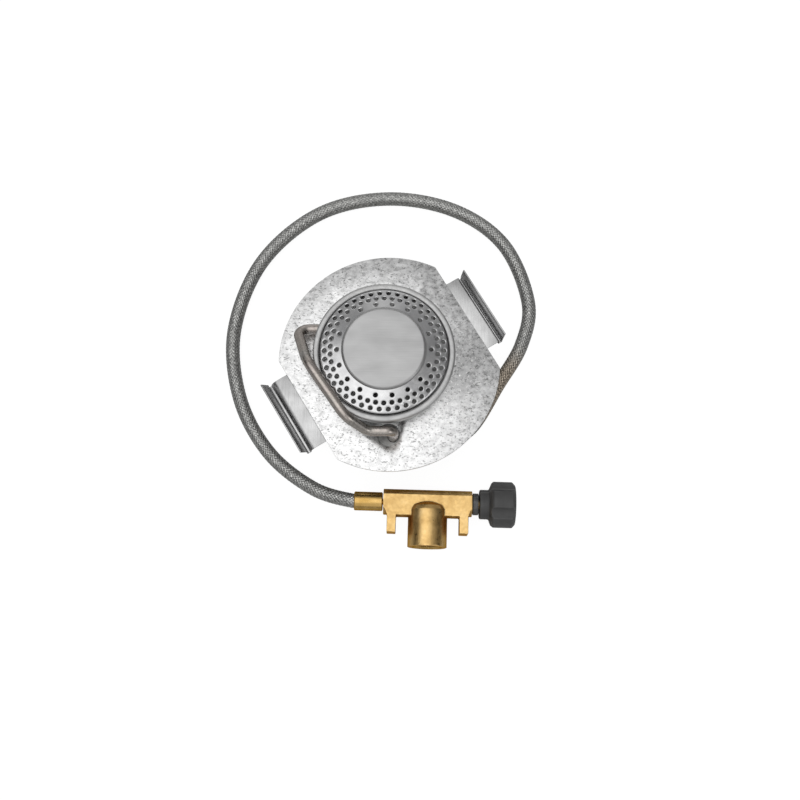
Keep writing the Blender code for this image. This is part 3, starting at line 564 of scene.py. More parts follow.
def polished_steel():
    """Spun steel of the cone and bowl: bright, with faint turning marks and smudges."""
    look = Look("polished_steel", (0.6, 0.6, 0.61), 1.0, 0.16)
    smudge = look.noise(5.0, 4.0)
    look.colour(look.ramp(smudge, (0.25, (0.5, 0.5, 0.51)), (0.75, (0.68, 0.68, 0.68))))
    look.uneven_gloss(1.6, 3.0, 0.12, 0.26)
    look.grain(2.2, 2.0, 0.03, 0.5)
    return look.material


def spun_steel():
    """The bowl and its rolled rim: evenly satin, with faint turning marks."""
    look = Look("spun_steel", (0.47, 0.47, 0.47), 1.0, 0.42)
    cloud = look.noise(6.0, 3.0)
    look.colour(look.ramp(cloud, (0.3, (0.45, 0.45, 0.45)), (0.7, (0.53, 0.53, 0.525))))
    look.uneven_gloss(1.4, 3.0, 0.36, 0.5)
    look.grain(1.8, 2.0, 0.015, 0.5)
    return look.material


def satin_steel():
    """The cap: brushed one way, a little cloudy."""
    look = Look("satin_steel", (0.55, 0.55, 0.55), 1.0, 0.4)
    grain = look.noise(0.35, 3.0, stretch=(28.0, 0.6, 1.0))
    cloud = look.noise(9.0, 2.0, stretch=(1.6, 0.8, 1.0))
    tone = look.ramp(cloud, (0.3, (0.4, 0.4, 0.4)), (0.7, (0.49, 0.49, 0.49)))
    look.colour(look.mix(0.25, tone, grain, "OVERLAY"))
    look.rough(look.ramp(grain, (0.3, 0.36), (0.7, 0.5)))
    look.bump(grain, 0.008, 0.5)
    return look.material


def heat_tinted_steel():
    """The preheat tube: dull drawn steel with straw and rose tints where the flame reaches it."""
    look = Look("heat_tinted_steel", (0.4, 0.38, 0.36), 1.0, 0.3)
    along_tube = look.noise(7.0, 2.0)
    tint = look.ramp(
        along_tube,
        (0.25, (0.42, 0.405, 0.385)),
        (0.45, (0.47, 0.435, 0.4)),
        (0.6, (0.48, 0.43, 0.4)),
        (0.8, (0.43, 0.42, 0.41)),
    )
    speck = look.ramp(look.noise(0.8, 4.0), (0.3, 0.75), (0.6, 1.0))
    look.colour(look.mix(1.0, tint, speck, "MULTIPLY"))
    look.uneven_gloss(1.2, 3.0, 0.22, 0.4)
    look.grain(0.6, 3.0, 0.015, 0.5)
    return look.material


def spring_steel():
    """The clips: cold-rolled strip with fine rolling lines and rubbed patches."""
    look = Look("spring_steel", (0.5, 0.5, 0.5), 1.0, 0.28)
    lines = look.noise(0.5, 3.0, stretch=(0.7, 14.0, 1.0))
    rub = look.noise(6.0, 3.0)
    look.colour(look.ramp(rub, (0.3, (0.44, 0.44, 0.44)), (0.7, (0.58, 0.58, 0.58))))
    look.rough(look.ramp(lines, (0.3, 0.2), (0.7, 0.36)))
    look.bump(lines, 0.01, 0.5)
    return look.material


def braid_wire():
    """Fine stainless wires laid side by side, tarnished unevenly, with painted shade in the hollows between
    them.
    """
    look = Look("braid_wire", (0.3, 0.29, 0.28), 1.0, 0.34)
    tone = look.ramp(
        look.noise(0.7, 2.0),
        (0.3, (0.2, 0.2, 0.195)),
        (0.5, (0.37, 0.37, 0.36)),
        (0.7, (0.62, 0.62, 0.6)),
    )
    clean = look.near((49.0, -9.0, 5.0), 8.0, 26.0)
    dirt = look.ramp(clean, (0.0, (1.0, 0.86, 0.72)), (1.0, (1.0, 1.0, 1.0)))
    # Painted shade in the hollows between the wires.
    painted_strand_shade = look.ramp(look.hollows(0.5), (0.25, 0.12), (0.85, 1.0))
    toned = look.mix(1.0, tone, dirt, "MULTIPLY")
    look.colour(look.mix(1.0, toned, painted_strand_shade, "MULTIPLY"))
    look.uneven_gloss(0.5, 2.0, 0.24, 0.44)
    look.grain(0.22, 2.0, 0.05, 0.7)
    return look.material


def dark_core():
    look = Look("dark_core", (0.03, 0.03, 0.03), 0.2, 0.7)
    look.colour(look.ramp(look.noise(1.0, 3.0), (0.3, 0.015), (0.7, 0.05)))
    look.grain(0.4, 2.0, 0.05, 0.6)
    return look.material


def forged_brass():
    """The valve body's skin: grainy from the die, with painted shade in its corners, rubbed bright on edges.
    """
    look = Look("forged_brass", (0.7, 0.45, 0.17), 1.0, 0.34)
    tone = look.ramp(
        look.noise(4.0, 4.0),
        (0.3, (0.58, 0.37, 0.14)),
        (0.55, (0.73, 0.49, 0.2)),
        (0.8, (0.82, 0.58, 0.27)),
    )
    # Painted shade: darkens the colour in the body's corners and hollows.
    corner = look.ramp(look.hollows(3.0), (0.3, (0.35, 0.22, 0.1)), (0.9, (1.0, 1.0, 1.0)))
    worn = look.ramp(look.edges(), (0.52, 0.0), (0.6, 0.6))
    toned = look.mix(1.0, tone, corner, "MULTIPLY")
    look.colour(look.mix(worn, toned, (0.84, 0.64, 0.37)))
    look.edge_tint((0.86, 0.56, 0.2))
    look.uneven_gloss(1.2, 4.0, 0.26, 0.44)
    look.grain(0.7, 4.0, 0.05, 0.8)
    look.grain(3.0, 2.0, 0.06, 0.5)
    return look.material


def machined_brass():
    """Turned brass: tight tool marks, a little tarnish and painted shade in its hollows."""
    look = Look("machined_brass", (0.72, 0.5, 0.22), 1.0, 0.22)
    tone = look.ramp(look.noise(3.0, 3.0), (0.3, (0.5, 0.31, 0.09)), (0.7, (0.64, 0.42, 0.15)))
    look.edge_tint((0.82, 0.52, 0.16))
    # Painted shade: darkens the colour in hollows and corners.
    corner = look.ramp(look.hollows(1.5), (0.3, 0.35), (0.9, 1.0))
    look.colour(look.mix(1.0, tone, corner, "MULTIPLY"))
    look.uneven_gloss(0.8, 3.0, 0.16, 0.32)
    look.grain(0.3, 2.0, 0.01, 0.5)
    return look.material


def drawn_steel():
    """Plain steel of the mixing tube."""
    look = Look("drawn_steel", (0.5, 0.5, 0.51), 1.0, 0.35)
    look.colour(look.ramp(look.noise(3.0, 4.0), (0.3, 0.4), (0.7, 0.55)))
    look.rough(look.ramp(look.noise(0.8, 3.0, stretch=(1, 1, 6)), (0.3, 0.28), (0.7, 0.45)))
    look.bump(look.noise(0.3, 2.0, stretch=(1, 1, 8)), 0.01, 0.5)
    return look.material


def moulded_plastic():
    """The knob: grey-black moulding with a fine spark-eroded grain, its edges polished by fingers and painted
    lighter as their sheen.
    """
    look = Look("moulded_plastic", (0.045, 0.045, 0.045), 0.0, 0.5)
    # Lighter on convex edges: finger wear and a painted sheen.
    rubbed = look.ramp(look.edges(), (0.5, 0.055), (0.62, 0.11))
    cloud = look.ramp(look.noise(5.0, 3.0), (0.3, 0.85), (0.7, 1.1))
    look.colour(look.mix(1.0, rubbed, cloud, "MULTIPLY"))
    look.uneven_gloss(2.0, 3.0, 0.42, 0.56)
    look.grain(0.16, 2.0, 0.02, 0.6)
    return look.material


def black_metal():
    look = Look("black_metal", (0.03, 0.03, 0.03), 0.4, 0.38)
    look.colour(look.ramp(look.noise(1.5, 3.0), (0.3, 0.06), (0.7, 0.12)))
    look.uneven_gloss(0.8, 3.0, 0.3, 0.5)
    look.grain(0.25, 2.0, 0.01, 0.5)
    return look.material


def black_rubber():
    look = Look("black_rubber", (0.02, 0.02, 0.02), 0.0, 0.7)
    look.colour(look.ramp(look.noise(1.0, 3.0), (0.3, 0.014), (0.7, 0.035)))
    look.uneven_gloss(0.5, 2.0, 0.6, 0.8)
    look.grain(0.3, 3.0, 0.02, 0.6)
    return look.material


def sintered_bronze():
    look = Look("sintered_bronze", (0.4, 0.26, 0.13), 1.0, 0.6)
    grains = look.cells(0.25)
    look.colour(look.ramp(grains, (0.1, (0.5, 0.34, 0.18)), (0.7, (0.16, 0.1, 0.05))))
    look.bump(grains, 0.08, 0.8)
    return look.material


def hole_shade_steel():
    """Dark steel for the nut under the riser hole: painted shade for the inside of the hole."""
    look = Look("hole_shade_steel", (0.4, 0.4, 0.4), 1.0, 0.45)
    look.colour(look.ramp(look.noise(2.5, 3.0), (0.3, (0.36, 0.36, 0.35)), (0.7, (0.46, 0.46, 0.45))))
    look.uneven_gloss(0.8, 3.0, 0.4, 0.55)
    look.grain(0.4, 2.0, 0.02, 0.5)
    return look.material


# ---------------------------------------------------------------- plate and clips


def plate_outline(step=1.5):
    right = math.degrees(math.acos(FLAT_RIGHT / PLATE_RADIUS))
    left = math.degrees(math.acos(FLAT_LEFT / PLATE_RADIUS))
    centre = (PLATE_CENTRE_X, 0.0)
    steps = round((180 - left - right) / step)
    outline = arc(centre, PLATE_RADIUS, FLAT_ANGLE + right, FLAT_ANGLE + 180 - left, steps)
    outline += arc(centre, PLATE_RADIUS, FLAT_ANGLE + 180 + left, FLAT_ANGLE + 360 - right, steps)
    return rounded(outline, 1.2, 3)


def mounting_plate(material):
    plate = prism("plate_sheet", plate_outline(), PLATE_UNDER, PLATE_TOP)
    holes = (
        ((0.0, 0.0), NECK_HOLE_RADIUS),
        (RISER_HOLE_CENTRE, RISER_HOLE_RADIUS),
        (FEED_CORNER, FEED_HOLE_RADIUS),
    )
    for (x, y), radius in holes:
        carve(plate, rod("plate_hole", radius, (x, y, PLATE_UNDER - 1), (x, y, PLATE_TOP + 1), 64))
    soften(plate, 0.14)
    finish_piece(plate, "burner", material, "mounting_plate")


def clip_path(near, bend, lean):
    """The folded strip's centre line: (outward, up) from its tab under the plate to its raised lip."""
    level = -GAP - CLIP_STRIP / 2
    far = near + CLIP_GROOVE
    floor = -CLIP_DROP
    fold = arc((near - bend, level - bend), bend, 90, 0, 10)
    trough = [(near, floor), (far, floor), (far + 0.1, 0.0), (far + lean, CLIP_RISE)]
    return [(-CLIP_TAB, level)] + fold[:-1] + rounded([fold[-1]] + trough, 0.6, 6, closed=False)


def thick_line(points, thickness):
    """The closed outline of a strip of a given thickness along an open path."""
    path = np.array(points)
    tangents = np.gradient(path, axis=0)
    tangents /= np.linalg.norm(tangents, axis=1)[:, None]
    normals = np.stack([-tangents[:, 1], tangents[:, 0]], axis=1) * thickness / 2
    return [tuple(p) for p in path - normals] + [tuple(p) for p in (path + normals)[::-1]]


def spring_clip(side, outward, edge, near, bend, lean, slide, material):
    outline = thick_line(clip_path(near, bend, lean), CLIP_STRIP)
    turn = Matrix.Rotation(math.radians(outward), 4, "Z")
    foot = turn @ Vector((edge, slide, 0)) + Vector((PLATE_CENTRE_X, 0, PLATE_UNDER))
    upright = Matrix.Rotation(math.radians(90), 4, "X")
    matrix = Matrix.Translation(foot) @ turn @ upright
    clip = prism(f"clip_{side}", outline, -CLIP_LENGTH / 2, CLIP_LENGTH / 2, matrix)
    soften(clip, 0.1, 2, 50)
    finish_piece(clip, f"clip_{side}", material, f"spring_clip_{side}")


# ---------------------------------------------------------------- burner head


def burner_bowl(material):
    """The drum-sided bowl, from its rolled rim down to the foot that sits on the plate."""
    foot = PLATE_TOP + GAP
    base = [(8.7, foot), (5.9, foot), (5.9, foot + 0.6), (8.1, foot + 0.6)]
    half_width, half_height = RIM_BEAD_WIDTH / 2, RIM_BEAD_HEIGHT / 2
    bead = [(RIM_RADIUS + half_width * r, RIM_Z + half_height * z) for r, z in flat_topped_bead()]
    profile = bead + rounded(list(BOWL_OUTSIDE) + base + list(BOWL_INSIDE), 1.4, 6, closed=False)
    bowl = turned("bowl_shell", profile, 128)
    finish_piece(bowl, "burner", material, "burner_bowl")


def flat_topped_bead(steps=28):
    """A squarish round of unit size, from its inner lower side over the top to its outer side."""
    points = []
    for x, y in arc((0, 0), 1, 215, -25, steps):
        points.append((math.copysign(abs(x) ** 0.7, x), math.copysign(abs(y) ** 0.7, y)))
    return points


def flame_ring(material):
    """The perforated cone with a turned-down foot, and a rounded entry at every gas hole."""
    foot, top = Vector(CONE_FOOT), Vector(CONE_TOP)
    slope = (foot - top).normalized()
    inward = Vector((slope.y, -slope.x)) * CONE_WALL
    outer = [tuple(top.lerp(foot, i / 14)) for i in range(14)]
    edge = foot.x + CONE_WALL
    turned_down = [outer[-1], tuple(foot + slope * CONE_WALL), (edge, CONE_SKIRT)]
    outer += rounded(turned_down, 0.8, 6, closed=False)[1:]
    inner = [(edge - CONE_WALL, CONE_SKIRT), tuple(foot + inward), tuple(top + inward)]
    ring = turned("flame_cone", outer + inner, 168)
    carve(ring, hole_cutters(-inward.normalized()))
    shade(ring, 50)
    finish_piece(ring, "burner", material, "flame_ring")


def hole_cutters(outward):
    """One mesh with a flared drill for each gas hole."""
    flare = [(HOLE_RADIUS + HOLE_FLARE * (1 - math.sin(a)), -HOLE_FLARE * (1 - math.cos(a)))
             for a in (math.radians(d) for d in (0, 22, 45, 68, 90))]
    profile = [(0.0, 1.0), (HOLE_RADIUS + HOLE_FLARE, 1.0)] + flare + [(HOLE_RADIUS, -2.0), (0.0, -2.0)]
    drill_vertices, drill_faces = lathe(profile, 18)
    tilt = Vector((outward.x, 0, outward.y)).to_track_quat("Z", "Y").to_matrix().to_4x4()
    vertices, faces = [], []
    for radius, count, stagger in HOLE_ROWS:
        height = CONE_FOOT[1] + (CONE_FOOT[0] - radius) * CONE_STEEPNESS
        for i in range(count):
            spin = Matrix.Rotation(math.tau * (i + stagger) / count, 4, "Z")
            matrix = spin @ Matrix.Translation((radius, 0, height)) @ tilt
            start = len(vertices)
            vertices += [matrix @ Vector(v) for v in drill_vertices]
            faces += [tuple(start + k for k in face) for face in drill_faces]
    return piece("hole_cutters", vertices, faces)


def burner_cap(material):
    edge = (CAP_RADIUS - CAP_EDGE, CAP_TOP - CAP_EDGE)
    under = CAP_TOP - CAP_WALL
    skirt = edge[1] - 0.15
    profile = [(0.0, CAP_TOP), (8.0, CAP_TOP)] + arc(edge, CAP_EDGE, 90, 0, 10)
    profile += [(CAP_RADIUS, skirt), (CAP_RADIUS - 0.4, skirt), (CAP_RADIUS - CAP_EDGE, under), (0.0, under)]
    cap = turned("cap_disc", profile, 128)
    finish_piece(cap, "burner", material, "burner_cap")


def mixing_tube(material):
    flange_top = PLATE_UNDER - GAP
    flange_bottom = flange_top - FLANGE_THICK
    profile = [(NECK_OUTER, MIXING_TOP), (NECK_OUTER, flange_top), (FLANGE_RADIUS, flange_top)]
    profile += [(FLANGE_RADIUS, flange_bottom), (NECK_OUTER, flange_bottom), (NECK_OUTER, MIXING_BOTTOM)]
    profile += [(NECK_INNER, MIXING_BOTTOM), (NECK_INNER, MIXING_TOP)]
    tube = turned("mixing_pipe", profile, 72, edge=0.2)
    for angle in (math.radians(45), math.radians(135)):
        reach = Vector((math.cos(angle), math.sin(angle), 0)) * (NECK_OUTER + 2)
        middle = Vector((0, 0, AIR_HOLE_Z))
        carve(tube, rod("air_drill", AIR_HOLE_RADIUS, middle - reach, middle + reach, 32))
    finish_piece(tube, "burner", material, "mixing_tube")


def hexagon_nut(name, corner, bore, length, matrix):
    """A hexagon nut with turned chamfers on its corners."""
    flats = [(corner * math.cos(math.tau * i / 6), corner * math.sin(math.tau * i / 6)) for i in range(6)]
    nut = prism(name, flats, 0.0, length, matrix)
    cut = 0.13 * corner
    profile = [(0.0, length + 0.01), (corner - cut, length + 0.01), (corner + 0.02, length - 0.6 * cut)]
    profile += [(corner + 0.02, 0.6 * cut), (corner - cut, -0.01), (0.0, -0.01)]
    carve(nut, turned("nut_form", profile, 48, matrix), "INTERSECT")
    hole = [(0.0, length + 1), (bore, length + 1), (bore, -1.0), (0.0, -1.0)]
    carve(nut, turned("nut_drill", hole, 40, matrix))
    return soften(nut, 0.08, 2, 35)


def pointing(start, direction):
    return Matrix.Translation(start) @ Vector(direction).to_track_quat("Z", "Y").to_matrix().to_4x4()


def lock_ring(material):
    place = Matrix.Translation((0, 0, PLATE_TOP + 2 * GAP + 0.6))
    ring = hexagon_nut("lock_nut", 7.7, NECK_OUTER + 0.1, 1.7, place)
    finish_piece(ring, "burner", material, "bowl_lock_ring")


def jet_holder(material):
    profile = [(0.0, SPIGOT_TOP), (SPIGOT_RADIUS, SPIGOT_TOP), (SPIGOT_RADIUS, HOLDER_HEIGHT)]
    profile += [(HOLDER_RADIUS, HOLDER_HEIGHT), (HOLDER_RADIUS, 0.0), (0.0, 0.0)]
    holder = turned("jet_block", rounded(profile, 0.35, 3, closed=False), 72)
    out = Vector((*FEED_CORNER, 0)).normalized()
    middle = Vector((0, 0, FEED_Z))
    boss = rod("feed_boss", FEED_BOSS_RADIUS, middle + out * 5, middle + out * FEED_BOSS_END, 40)
    carve(holder, boss, "UNION")
    carve(holder, rod("feed_socket", TUBE_RADIUS + GAP, middle + out * 6, middle + out * 12, 32))
    carve(holder, rod("jet_bore", 1.8, (0, 0, 3), (0, 0, SPIGOT_TOP + 1), 32))
    soften(holder, 0.12, 2, 45)
    finish_piece(holder, "burner", material, "jet_holder")


def jet_nozzle(material):
    head = SPIGOT_TOP + GAP
    profile = [(0.2, JET_TIP_Z), (0.9, JET_TIP_Z), (1.4, head + 1.6), (2.6, head + 1.6), (2.6, head)]
    profile += [(1.5, head), (1.5, FEED_Z + 3), (0.2, FEED_Z + 3)]
    nozzle = turned("jet_tip", profile, 48, edge=0.15)
    finish_piece(nozzle, "burner", material, "jet_nozzle")


def swept_tube(name, path, radius, sides=28):
    """A round bar along a path, with flat ends."""
    _, points, side, up = along(path)
    angles = np.arange(sides) * math.tau / sides
    ring = np.cos(angles)[None, :, None] * side[:, None] + np.sin(angles)[None, :, None] * up[:, None]
    vertices = (points[:, None] + radius * ring).reshape(-1, 3)
    return piece(name, vertices, tube_faces(len(points), sides))


def tube_faces(rings, sides):
    faces = [tuple(reversed(range(sides))), tuple((rings - 1) * sides + j for j in range(sides))]
    for i in range(rings - 1):
        for j in range(sides):
            k = (j + 1) % sides
            faces.append((i * sides + j, i * sides + k, (i + 1) * sides + k, (i + 1) * sides + j))
    return faces


def preheat_tube(material):
    out = Vector((*FEED_CORNER, 0)).normalized()
    start = Vector((0, 0, FEED_Z)) + out * 6.5
    tube = swept_tube("preheat_pipe", filleted(TUBE_CORNERS, start, (*RISER, TUBE_END_Z)), TUBE_RADIUS)
    finish_piece(tube, "burner", material, "preheat_tube")


def preheat_nuts(brass, steel):
    out = Vector((*FEED_CORNER, 0)).normalized()
    feed = pointing(Vector((0, 0, FEED_Z)) + out * (FEED_BOSS_END + GAP), out)
    jet_nut = hexagon_nut("union_nut_jet", JET_NUT_CORNER, NUT_BORE, JET_NUT_LENGTH, feed)
    finish_piece(jet_nut, "burner", brass, "preheat_nut_jet")
    foot = Matrix.Translation((*RISER, INLET_TOP + GAP))
    # The inlet nut is dark steel that stands for the shade seen through the riser hole above it.
    inlet_nut = hexagon_nut("union_nut_inlet", INLET_NUT_CORNER, NUT_BORE, INLET_NUT_LENGTH, foot)
    finish_piece(inlet_nut, "burner", steel, "preheat_nut_inlet")


def inlet_connector(material):
    foot = Vector((*RISER, 0))
    up = Vector((0, 0, 1))
    port = foot + up * INLET_PORT_Z
    mouth = Vector((INLET_PORT_END, RISER[1], INLET_PORT_Z))
    profile = [(0.0, INLET_TOP), (INLET_RADIUS, INLET_TOP), (INLET_RADIUS, INLET_BOTTOM), (0.0, INLET_BOTTOM)]
    body = turned("inlet_elbow", rounded(profile, 0.5, 4, closed=False), 64, Matrix.Translation(foot))
    carve(body, rod("inlet_boss", INLET_PORT_RADIUS, port, mouth, 48), "UNION")
    carve(body, rod("tube_seat", 2.4, foot + up * 12.7, foot + up * 20, 32))
    carve(body, rod("side_bore", GAS_BORE, port + Vector((2, 0, 0)), mouth + Vector((2, 0, 0)), 24))
    soften(body, 0.15, 2, 45)
    finish_piece(body, "burner", material, "inlet_connector")


# ---------------------------------------------------------------- hose


def hose_path(steps=24):
    """A straight start, a Catmull-Rom path through the route, and a straight end into the valve's ferrule."""
    y, z = RISER[1], INLET_PORT_Z
    points = [(HOSE_START_X, y, z), (HOSE_STRAIGHT_X, y, z), *HOSE_ROUTE]
    points += [VALVE @ Vector((-13.0, 0, 0)), VALVE @ Vector((-2.2, 0, 0))]
    knots = [Vector(p) for p in points]
    path = [knots[0].lerp(knots[1], i / 6) for i in range(6)]
    for a, b, c, d in zip(knots, knots[1:], knots[2:], knots[3:]):
        for i in range(steps):
            t = i / steps
            square = (2 * a - 5 * b + 4 * c - d) * t**2
            cube = (3 * b - a - 3 * c + d) * t**3
            path.append(0.5 * (2 * b + (c - a) * t + square + cube))
    return path + [knots[-2].lerp(knots[-1], i / 6) for i in range(7)]


class HoseSkin:
    """Maps (distance along the hose, angle, radius) to points in millimetres."""

    def __init__(self, path):
        self.lengths, self.points, self.sides, self.ups = along(path)
        self.total = self.lengths[-1]

    def nearest(self, point):
        gaps = np.linalg.norm(self.points - np.array(point), axis=1)
        return float(self.lengths[int(np.argmin(gaps))])

    def at(self, distance, angle, radius):
        def track(values):
            return np.stack([np.interp(distance, self.lengths, values[:, k]) for k in range(3)], axis=-1)

        side, up = track(self.sides), track(self.ups)
        ring = np.cos(angle)[..., None] * side + np.sin(angle)[..., None] * up
        ring /= np.linalg.norm(ring, axis=-1)[..., None]
        return track(self.points) + radius[..., None] * ring


def hose_core(skin, start, end, sides=20, step=1.6):
    """The dark tube under the braid: vertices, faces and each vertex's distance along the hose."""
    rings = max(2, round((end - start) / step)) + 1
    distance, angle = np.meshgrid(
        np.linspace(start, end, rings), np.arange(sides) * math.tau / sides, indexing="ij"
    )
    points = skin.at(distance, angle, np.full(distance.shape, CORE_RADIUS))
    return points.reshape(-1, 3), tube_faces(rings, sides), distance.ravel()


def hose_strand(skin, start, end, number, direction):
    """One flat bundle of wires, passing over and under the bundles that run the other way."""
    period = BRAID_PITCH / BRAID_STRANDS
    step = period / 4
    first, last = math.ceil(start / step), math.floor(end / step)
    middle = np.concatenate([[start], np.arange(first, last + 1) * step, [end]])
    middle = middle[np.concatenate([[True], np.diff(middle) > 1e-6])]
    lean = math.atan(math.tau * BRAID_RADIUS / BRAID_PITCH)
    across = np.array([-0.5, -0.36, 0.36, 0.5]) * BRAID_WIDTH
    lift = np.array([-0.5, 0.5, 0.5, -0.5]) * BRAID_THICK
    wave = direction * BRAID_WAVE * np.cos(math.tau * middle / period)
    turn = direction * math.tau * middle / BRAID_PITCH + math.tau * number / BRAID_STRANDS
    distance = middle[:, None] - direction * math.sin(lean) * across[None, :]
    angle = turn[:, None] + math.cos(lean) * across[None, :] / BRAID_RADIUS
    radius = BRAID_RADIUS + wave[:, None] + lift[None, :]
    points = skin.at(np.clip(distance, 0, skin.total), angle, radius)
    return points.reshape(-1, 3), tube_faces(len(middle), 4), np.repeat(middle, 4)


def hose_piece(name, skin, start, end, braid, core):
    """The hose from one distance to another as a single mesh, with each vertex's distance."""
    vertices, faces, distances = hose_core(skin, start, end)
    vertices, distances = [vertices], [distances]
    core_faces = len(faces)
    count = len(vertices[0])
    for direction in (1, -1):
        for number in range(BRAID_STRANDS):
            points, strand_faces, along_hose = hose_strand(skin, start, end, number, direction)
            faces += [tuple(count + k for k in face) for face in strand_faces]
            vertices.append(points)
            distances.append(along_hose)
            count += len(points)
    obj = piece(name, np.concatenate(vertices), faces, sharp=50)
    obj.data.materials.append(braid)
    obj.data.materials.append(core)
    slots = np.zeros(len(faces), np.int32)
    slots[:core_faces] = 1
    obj.data.polygons.foreach_set("material_index", slots)
    return obj, np.concatenate(distances)


def bend_between(obj):
    """Bakes the piece's placement into its mesh."""
    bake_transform(obj)


def hose(braid, core):
    """Two lengths of hose that meet, unbent, half way between the two bending points."""
    skin = HoseSkin(hose_path())
    swing, lift = skin.nearest(SWING_POINT), skin.nearest(LIFT_POINT)
    seam = (swing + lift) / 2
    near, near_distances = hose_piece("hose_near_burner", skin, 0.0, seam, braid, core)
    far, far_distances = hose_piece("hose_near_valve", skin, seam, skin.total, braid, core)
    bend_between(near)
    bend_between(far)
    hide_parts("hose_braid_burner_end", "hose_liner_burner_end", "hose_braid_middle")
    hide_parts("hose_liner_middle", "hose_braid_valve_end", "hose_liner_valve_end")


def ferrule_profile(length):
    """A smooth swaged sleeve with rolled ends."""
    outer = [(FERRULE_RADIUS - 0.35, length), (FERRULE_RADIUS, length - 0.35)]
    outer += [(FERRULE_RADIUS, 0.35), (FERRULE_RADIUS - 0.35, 0.0)]
    return rounded(outer + [(FERRULE_BORE - 0.25, 0.0), (FERRULE_BORE - 0.25, length)], 0.3, 3)


def ferrules(material):
    start = Matrix.Translation((INLET_PORT_END + GAP, RISER[1], INLET_PORT_Z)) @ X_AXIS
    end = VALVE @ Matrix.Translation((-12.6, 0, 0)) @ X_AXIS
    for body, length, place in (("burner", 11.0, start), ("valve", 11.8, end)):
        ferrule = turned(f"ferrule_{body}", ferrule_profile(length), 72, place)
        finish_piece(ferrule, body, material, f"hose_ferrule_{body}")


# ---------------------------------------------------------------- valve


def body_outline():
    """The slab's outline seen from above: straight back, two lugs in front."""
    left, right = BODY_START + 0.6, BODY_END - 0.6
    outline = [(left, 2.0), (left, -3.2)]
    for near in (LUG_LEFT, LUG_RIGHT):
        outline += [(near, SLAB_FRONT), (near, LUG_FRONT), (near + LUG_WIDTH, LUG_FRONT)]
        outline += [(near + LUG_WIDTH, SLAB_FRONT)]
    return outline + [(right, -3.2), (right, 2.0)]


def valve_body(skin, bare):
    """The forged body, one rounded skin, then the machined socket and bores."""
    barrel = [(0.0, BODY_END), (BARREL_RADIUS, BODY_END), (BARREL_RADIUS, BODY_START), (0.0, BODY_START)]
    body = turned("valve_forging", barrel, 64, VALVE @ X_AXIS)
    carve(body, prism("slab", body_outline(), -BODY_HALF - 1, BODY_HALF + 1, VALVE), "UNION")
    left, right, front, back = BODY_START - 1, BODY_END + 1, LUG_FRONT - 1, BARREL_RADIUS + 1
    block = [(left, front), (right, front), (right, back), (left, back)]
    carve(body, prism("block", block, -BODY_HALF, BODY_HALF, VALVE), "INTERSECT")
    depth = SOCKET_BACK - SOCKET_MOUTH
    boss = [(0.0, depth), (SOCKET_RADIUS, depth), (SOCKET_RADIUS, 0.0), (7.3, -1.7), (4.2, -SOCKET_DOME)]
    boss += [(0.0, -SOCKET_DOME - 0.4)]
    place = VALVE @ Matrix.Translation((SOCKET_X, SOCKET_BACK, 0)) @ FRONT_AXIS
    carve(body, turned("boss", boss, 64, place), "UNION")
    cast(body, 0.22, 3)
    body.data.materials.clear()
    body.data.materials.append(skin)
    body.data.materials.append(bare)
    floor = SOCKET_MOUTH + THREAD_DEPTH
    mouth, lead_in = SOCKET_MOUTH - 0.5, SOCKET_MOUTH + 1
    cutters = (  # radius, start, end, radius at the end
        (THREAD_RADIUS, (SOCKET_X, SOCKET_MOUTH - 1), (SOCKET_X, floor), None),
        (THREAD_RADIUS + 1.3, (SOCKET_X, mouth), (SOCKET_X, lead_in), THREAD_RADIUS - 0.1),
        (VALVE_PORT_RADIUS, (SOCKET_X, floor - 1), (SOCKET_X, floor + 2.2), None),
        (GLAND_BORE, (GLAND_SOCKET_X, 0), (BODY_END + 1, 0), None),
        (GAS_BORE, (BODY_START - 1, 0), (6, 0), None),
    )
    for radius, start, end, end_radius in cutters:
        ends = [VALVE @ Vector((*point, 0)) for point in (start, end)]
        tool = rod("cutter", radius, *ends, 48, end_radius)
        tool.data.materials.append(bare)
        carve(body, tool)
    shade(body, 40)
    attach(body, "valve")
    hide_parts("valve_body")


def socket_thread(material):
    """The canister thread: a helical ridge inside the socket."""
    steps = 40
    turns = (THREAD_DEPTH - 2.6) / THREAD_PITCH
    rings = round(turns * steps) + 1
    path = []
    for i in range(rings):
        angle = math.tau * i / steps
        radius = THREAD_RADIUS + 0.1
        path.append((radius * math.cos(angle), radius * math.sin(angle), 1.2 + THREAD_PITCH * i / steps))
    section = [(0.15, -0.42), (-0.38, -0.1), (-0.38, 0.1), (0.15, 0.42)]
    vertices = []
    for x, y, z in path:
        outward = Vector((x, y, 0)).normalized()
        vertices += [tuple(Vector((x, y, z)) + outward * r + Vector((0, 0, h))) for r, h in section]
    faces = tube_faces(rings, 4)
    place = VALVE @ Matrix.Translation((SOCKET_X, SOCKET_MOUTH + THREAD_DEPTH, 0)) @ FRONT_AXIS
    thread = piece("socket_thread", vertices, faces, place)
    finish_piece(thread, "valve", material)


def socket_fittings(rubber, bronze, brass):
    floor = SOCKET_MOUTH + THREAD_DEPTH

    def at(y):
        return VALVE @ Matrix.Translation((SOCKET_X, y, 0)) @ FRONT_AXIS

    seal = turned("socket_seal", sleeve(2.9, 5.1, 0.0, 1.6), 64, at(floor - 0.1), 0.35)
    finish_piece(seal, "valve", rubber, "canister_seal")
    disc = turned("socket_filter", sleeve(1.2, 2.3, 0.0, 1.4), 48, at(floor + 1.9), 0.2)
    finish_piece(disc, "valve", bronze, "valve_filter")
    tip = [(0.0, 8.2), (0.45, 8.2), (0.8, 7.8), (0.8, 0.0), (0.0, 0.0)]
    pin = turned("socket_pin", tip, 32, at(floor + 3.4), 0.12)
    finish_piece(pin, "valve", brass, "depressor_pin")


